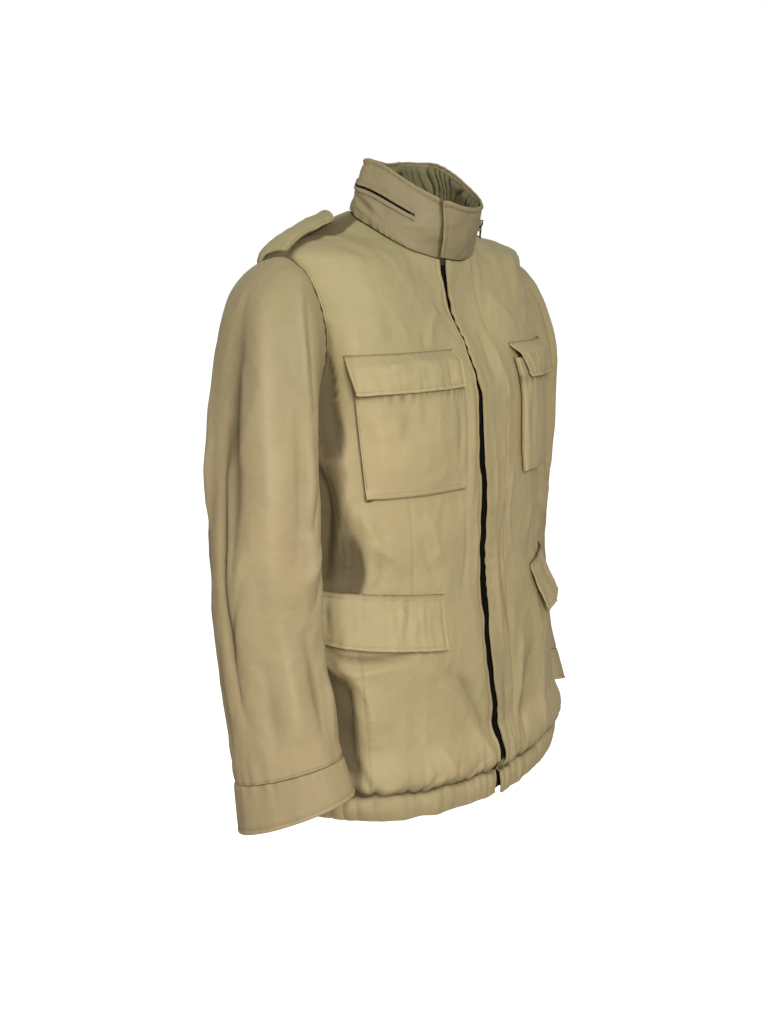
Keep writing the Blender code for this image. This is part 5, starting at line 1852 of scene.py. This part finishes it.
def rimmed(length, step, low_rim, high_rim):
    """Shares across a pocket and the rise at each: a rim, the face and the other rim."""
    low = [(inset / length, rise) for inset, rise in low_rim]
    high = [(1 - inset / length, rise) for inset, rise in reversed(high_rim)]
    face = np.linspace(low[-1][0] + step / length, high[0][0] - step / length, round(length / step))
    shares = np.concatenate([[share for share, _ in low], face, [share for share, _ in high]])
    flat = np.full(len(face), POCKET_FACE)
    return shares, np.concatenate([[rise for _, rise in low], flat, [rise for _, rise in high]])


POCKET_CREASES = creases(
    (((0.74, 0.20), (0.70, 0.42), (0.74, 0.62)), 0.090, -0.0016),
    (((0.90, 0.24), (0.86, 0.50), (0.88, 0.80)), 0.060, 0.0016),
    (((0.36, 0.22), (0.40, 0.46), (0.36, 0.70)), 0.080, 0.0016),
    (((0.18, 0.22), (0.12, 0.50), (0.16, 0.82)), 0.050, -0.0018),
    (((0.06, 0.30), (0.05, 0.55), (0.09, 0.90)), 0.040, 0.0018),
    (((0.52, 0.24), (0.54, 0.40), (0.50, 0.55)), 0.060, -0.0012),
    (((0.30, 0.80), (0.45, 0.88), (0.62, 0.90)), 0.050, 0.0010),
)


def make_pocket(name, patch, side):
    """A patch pocket with a folded outer side, puffed out and gathered under its flap."""
    across, across_rise = rimmed(POCKET_WIDTH, 0.0030, PLAIN_RIM, BELLOWS)
    down, down_rise = rimmed(POCKET_HEIGHT, 0.0032, PLAIN_RIM, PLAIN_RIM)
    down, down_rise = down[::-1][:, None], down_rise[::-1][:, None]
    if side < 0:
        across, across_rise = across[::-1], across_rise[::-1]
    across, across_rise = across[None], across_rise[None]
    edge = np.minimum(across, 1 - across)
    rise = np.minimum(across_rise, down_rise)
    full = rise >= POCKET_FACE * 0.99
    puff = POCKET_PUFF * ramp(edge, 0.0, 0.22) * ramp(1 - down, 0.0, 0.28)
    folds = creased(POCKET_CREASES, across + 0 * down, down + 0 * across, 1.0)
    run = (across * POCKET_WIDTH) / POCKET_GATHER_PITCH
    gather = np.cos(2 * np.pi * (run + 0.4 * np.sin(0.9 * run + side)))
    gather = gather * (0.6 + 0.4 * np.sin(0.7 * run))
    gather = 0.0011 * gather * bell(down - 0.21, 0.055) * ramp(edge, 0.0, 0.12)
    turned = 0.0030 * ramp(across, 0.86, 1.0) * ramp(down, 0.90, 1.0)
    turn, level = patch_place(patch, across, down, side)
    out = PATCH_GAP + 0.0016 + rise + np.where(full, puff + folds + gather + turned, 0.0)
    cloth = Cloth(body_cloth(turn, level, out))
    # Painted shade in the pocket's folds and gathers and on its rims, deepest on its folded outer
    # side and in a band under the flap.
    cloth.hollow = np.where(full, -(folds + gather) / 0.0030, 0.9 * (1 - rise / POCKET_FACE))
    bellows = (across > 0.5) & (across_rise < POCKET_FACE)
    cloth.hollow = np.where(bellows & ~full, 1.35, cloth.hollow)
    cloth.darken(0.55 * bell(down - 0.185, 0.05))
    sew_up(name, cloth, POCKET_WALL, SHELL, 0.0005)
    stitching(name, [(cloth.line("foot", POCKET_STITCH), 0.014, 0.014)])


FLAP_FOLDS = {
    "chest": creases(
        (((0.52, 0.30), (0.50, 0.60), (0.53, 0.96)), 0.055, -0.0012),
        (((0.40, 0.35), (0.38, 0.65), (0.41, 1.0)), 0.045, 0.0010),
        (((0.22, 0.25), (0.20, 0.60), (0.24, 1.0)), 0.060, -0.0011),
        (((0.70, 0.20), (0.74, 0.55), (0.71, 0.90)), 0.070, 0.0008),
        (((0.10, 0.30), (0.13, 0.60), (0.10, 0.9)), 0.040, 0.0009),
    ),
    "lower": creases(
        (((0.36, 0.02), (0.38, 0.45), (0.43, 0.98)), 0.022, -0.0019, 0.3),
        (((0.42, 0.06), (0.44, 0.50), (0.49, 1.0)), 0.030, 0.0014),
        (((0.66, 0.0), (0.68, 0.35), (0.65, 0.7)), 0.024, -0.0014),
        (((0.80, 0.0), (0.83, 0.45), (0.80, 1.0)), 0.030, 0.0014),
        (((0.90, 0.0), (0.92, 0.50), (0.89, 1.0)), 0.026, -0.0016),
        (((0.22, 0.05), (0.25, 0.40), (0.22, 0.75)), 0.024, 0.0010),
        (((0.15, 0.4), (0.13, 0.7), (0.16, 1.0)), 0.020, -0.0010),
    ),
}


FLAP_WIDTH, FLAP_HEIGHT = 0.140, 0.055
FLAP_DEPTH = 1.4  # all of the flaps' folds are deepened by this
RIPPLE_PITCH = 0.0095
LOWER_STITCH = 0.0105  # the lower flaps' second line, beside their inner edge


def make_flap(name, patch, side, stands, folds, slack):
    """A pocket flap, topstitched on three sides and sewn down along its top."""
    inward = spaced(FLAP_WIDTH, 0.0030)
    down = spaced(FLAP_HEIGHT, 0.0030)[::-1][:, None]
    if side < 0:
        inward = inward[::-1]
    inward = inward[None] + 0 * down
    down = down + 0 * inward
    stand = stands.foot + stands.corner * ramp(inward, 0.6, 1.0)
    out = PATCH_GAP + FLAP_WALL + stands.over * ramp(down, 0.0, 0.4) + stand * down**2
    turn, level = patch_place(patch, inward, down, side)
    cloth = Cloth(body_cloth(turn, level, out))
    rise = slack * creased(FLAP_FOLDS[folds], inward, down, 1.0)
    cloth.push(FLAP_DEPTH * rise, 1.6)
    loose = ramp(down, 0.05, 0.35) * slack
    cloth.push(crumple(cloth.points, (0.026, 0.026, 0.034), 0.0018) * loose, 1.0)
    run = inward * FLAP_WIDTH / RIPPLE_PITCH
    ripple = 0.0006 * np.cos(2 * np.pi * (run + 0.4 * np.sin(0.8 * run + side)))
    cloth.push(ripple * (0.3 + 0.7 * down) * slack, 2.0)
    for edge in ("left", "right", "foot"):
        cloth.topstitch(edge, TOPSTITCH, 0.0012, 0.0006)
        cloth.pucker(edge, 0.011, 0.0005, 0.007, 3.0)
    if folds == "lower":
        # Painted shadow of the sleeve over the flap's outer part.
        cloth.darken(0.45 * ramp(inward, 0.74, 0.84))
        cloth.topstitch("top", 0.0075, 0.0014, 0.0010)
        cloth.pucker("top", 0.009, 0.0011, 0.012, 1.0)
    cloth.topstitch("top", EDGE_STITCH, 0.0008, 0.0005)
    # A painted shade line along the sewn top edge.
    cloth.darken(1.3 * bell(cloth.away("top"), 0.0020))
    sew_up(name, cloth, FLAP_WALL - 0.0004, SHELL, 0.0008)
    lines = [(cloth.line(edge), TOPSTITCH, TOPSTITCH) for edge in ("left", "right", "foot")]
    lines.append((cloth.line("top", EDGE_STITCH), 0.002, 0.002))
    if folds == "lower":
        inner = "right" if side < 0 else "left"
        lines.append((cloth.line(inner, LOWER_STITCH), TOPSTITCH, TOPSTITCH))
    stitching(name, lines)


STRAP_WIDTH, STRAP_LENGTH = 0.048, 0.110
STRAP_STAND = 0.0025
STRAP_ARCH = 0.006
STRAP_BACK = 0.001  # how much further its outer back corner stands off the shoulder
STRAP_TIP = 0.012


def make_strap(name, side):
    """A shoulder strap, arched over the shoulder, with its pointed end towards the neck."""
    across = 2 * spaced(STRAP_WIDTH, 0.0026)[None] - 1
    share = spaced(STRAP_LENGTH, 0.0030)[:, None]
    middle, half = strap_middle(share)
    x = STRAP_OUTER + (STRAP_INNER - STRAP_OUTER) * share
    x = x + STRAP_TIP * across**2 * ramp(share, 0.6, 1.0)
    turn, level = shoulder_at(x, middle + across * half)
    free = ramp(share, 0.0, 0.30)
    stand = STRAP_STAND * free + STRAP_ARCH * (1 - across**2) * (0.1 + 0.9 * free)
    back = STRAP_BACK * ramp(across, -0.6, 1.0) * (1 - ramp(share, 0.2, 0.9))
    points = body_cloth(turn, level, FLAP_WALL + 0.0008 + stand + back)
    if side < 0:
        points = points[:, ::-1] * OTHER_SIDE
    cloth = Cloth(points)
    cloth.push(waves(cloth.points, EVEN_WAVE, 0.0010), 0.4)
    for edge in ("left", "right", "top"):
        cloth.topstitch(edge, TOPSTITCH, 0.0013, 0.0008)
        # A painted shade line along each edge.
        cloth.darken(0.9 * bell(cloth.away(edge), 0.0013))
    cloth.tuck("foot", 0.0012, 0.005)
    sew_up(name, cloth, FLAP_WALL, SHELL, 0.00045)
    lines = [(cloth.line(edge), 0.004, TOPSTITCH) for edge in ("left", "right")]
    lines.append((cloth.line("top"), TOPSTITCH, TOPSTITCH))
    stitching(name, lines)


FRONT_TAPE_HALF = 0.017
FRONT_TAPE_WALL = 0.0012
FRONT_TOOTH_PITCH = 0.0030
FRONT_TAPE_FOOT, FRONT_TAPE_TOP = HEM_BOTTOM + 0.004, -0.002


def make_front_zip():
    """The zip's tape behind the front gap, and its teeth."""
    length = FRONT_TAPE_TOP - FRONT_TAPE_FOOT
    level = (FRONT_TAPE_FOOT + length * spaced(length, 0.0045))[:, None]
    x = left_edge_x(level) + np.linspace(-FRONT_TAPE_HALF, FRONT_TAPE_HALF, 13)[None]
    level = level + 0 * x
    turn = turn_at(x, level)
    cloth = Cloth(body_cloth(turn, level, -HEM_WALL - GAP))
    sew_up("front_zip_tape", cloth, FRONT_TAPE_WALL, TAPE, 0.0003)
    line = cloth.line("left", FRONT_TAPE_HALF - 0.003)
    places = along_line(line, FRONT_TOOTH_PITCH, 0.004, 0.004)
    teeth = repeated("front_zip_teeth", FRONT_TOOTH, places, TEETH, 0.0002)
    attach(teeth, [])


make_right_front()
make_left_front()
make_back()
make_side("left_side", 1)
make_side("right_side", -1)
make_hem()
make_sleeve(1, LEFT_ARM, LEFT_SLEEVE_CREASES)
make_sleeve(-1, RIGHT_ARM, SLEEVE_CREASES)
make_collar()
make_lining()
make_collar_zip()
make_slider()
make_pull()
make_pocket("right_chest_pocket", RIGHT_CHEST_POCKET, -1)
make_pocket("left_chest_pocket", LEFT_CHEST_POCKET, 1)
make_flap("right_chest_flap", RIGHT_CHEST_FLAP, -1, CHEST_STANDS, "chest", 1.0)
make_flap("left_chest_flap", LEFT_CHEST_FLAP, 1, LEFT_CHEST_STANDS, "chest", 0.9)
make_flap("right_lower_flap", RIGHT_LOWER_FLAP, -1, LOWER_STANDS, "lower", 1.0)
make_flap("left_lower_flap", LEFT_LOWER_FLAP, 1, LOWER_STANDS, "lower", 0.9)
make_strap("left_shoulder_strap", 1)
make_strap("right_shoulder_strap", -1)
make_front_zip()

# ---------------------------------------------------------------- stage, light and camera

CAMERA_TURN = -54.0
CAMERA_PITCH = 10.63
CAMERA_REACH = 1.993
CAMERA_HEIGHT = -0.029
CAMERA_SIDE = -0.0195
LENS = 52.2
FLOOR_HEIGHT = -1.60
AMBIENT_BELOW, AMBIENT_ABOVE = 0.20, 0.46


def make_floor():
    bpy.ops.object.select_all(action="DESELECT")
    bpy.ops.mesh.primitive_plane_add(size=40.0, location=(0, 0, FLOOR_HEIGHT))
    floor = bpy.context.object
    floor.name = "floor"
    finish = Finish("pale_floor")
    place = finish.place()
    speck = finish.grain(place, 3.0, 2.0)
    colour = finish.mix(speck * 0.06, (0.93, 0.93, 0.93, 1), (0.88, 0.88, 0.88, 1))
    finish.set(Base_Color=colour, Roughness=0.9)
    finish.set(Emission_Color=(1.0, 1.0, 1.0, 1.0), Emission_Strength=0.80)
    wear(floor, finish.material)
    floor.visible_diffuse = False
    floor.visible_glossy = False


def make_light(name, size, power, place, target=(0.0, 0.0, -0.35)):
    data = bpy.data.lights.new(name, "AREA")
    data.shape = "SQUARE"
    data.size = size
    data.energy = power
    lamp = bpy.data.objects.new(name, data)
    lamp.location = place
    lamp.rotation_euler = (Vector(target) - Vector(place)).to_track_quat("-Z", "Y").to_euler()
    bpy.context.scene.collection.objects.link(lamp)


def make_camera():
    turn, pitch = math.radians(CAMERA_TURN), math.radians(CAMERA_PITCH)
    data = bpy.data.cameras.new("camera")
    data.lens = LENS
    data.sensor_width = 36.0
    camera = bpy.data.objects.new("camera", data)
    aside = Vector((math.cos(turn), math.sin(turn), 0)) * CAMERA_SIDE
    camera.location = Vector((math.sin(turn), -math.cos(turn), 0)) * CAMERA_REACH + aside
    camera.location.z = CAMERA_HEIGHT
    camera.rotation_euler = (math.pi / 2 - pitch, 0, turn)
    bpy.context.scene.collection.objects.link(camera)
    bpy.context.scene.camera = camera


def make_world():
    world = bpy.data.worlds.new("studio")
    bpy.context.scene.world = world
    world.use_nodes = True
    tree = world.node_tree
    backdrop = tree.nodes["Background"]
    seen = tree.nodes.new("ShaderNodeBackground")
    path = tree.nodes.new("ShaderNodeLightPath")
    mix = tree.nodes.new("ShaderNodeMixShader")
    for shade in (backdrop, seen):
        shade.inputs["Color"].default_value = (1.0, 1.0, 1.0, 1)
    way = tree.nodes.new("ShaderNodeTexCoord")
    parts = tree.nodes.new("ShaderNodeSeparateXYZ")
    above = tree.nodes.new("ShaderNodeMapRange")
    above.inputs["From Min"].default_value = -1.0
    above.inputs["To Min"].default_value = AMBIENT_BELOW
    above.inputs["To Max"].default_value = AMBIENT_ABOVE
    tree.links.new(way.outputs["Generated"], parts.inputs["Vector"])
    tree.links.new(parts.outputs["Z"], above.inputs["Value"])
    tree.links.new(above.outputs["Result"], backdrop.inputs["Strength"])
    tree.links.new(path.outputs["Is Camera Ray"], mix.inputs["Fac"])
    tree.links.new(backdrop.outputs["Background"], mix.inputs[1])
    tree.links.new(seen.outputs["Background"], mix.inputs[2])
    tree.links.new(mix.outputs["Shader"], tree.nodes["World Output"].inputs["Surface"])


make_floor()
make_light("key", 0.9, 62.0, (-1.95, -2.05, 0.55), (0.0, 0.0, -0.32))
make_light("side", 1.6, 6.0, (-2.9, 0.9, 0.6))
make_light("behind", 2.2, 11.0, (1.1, 2.7, 0.4))
make_world()
make_camera()
bpy.context.scene.view_settings.view_transform = "Standard"
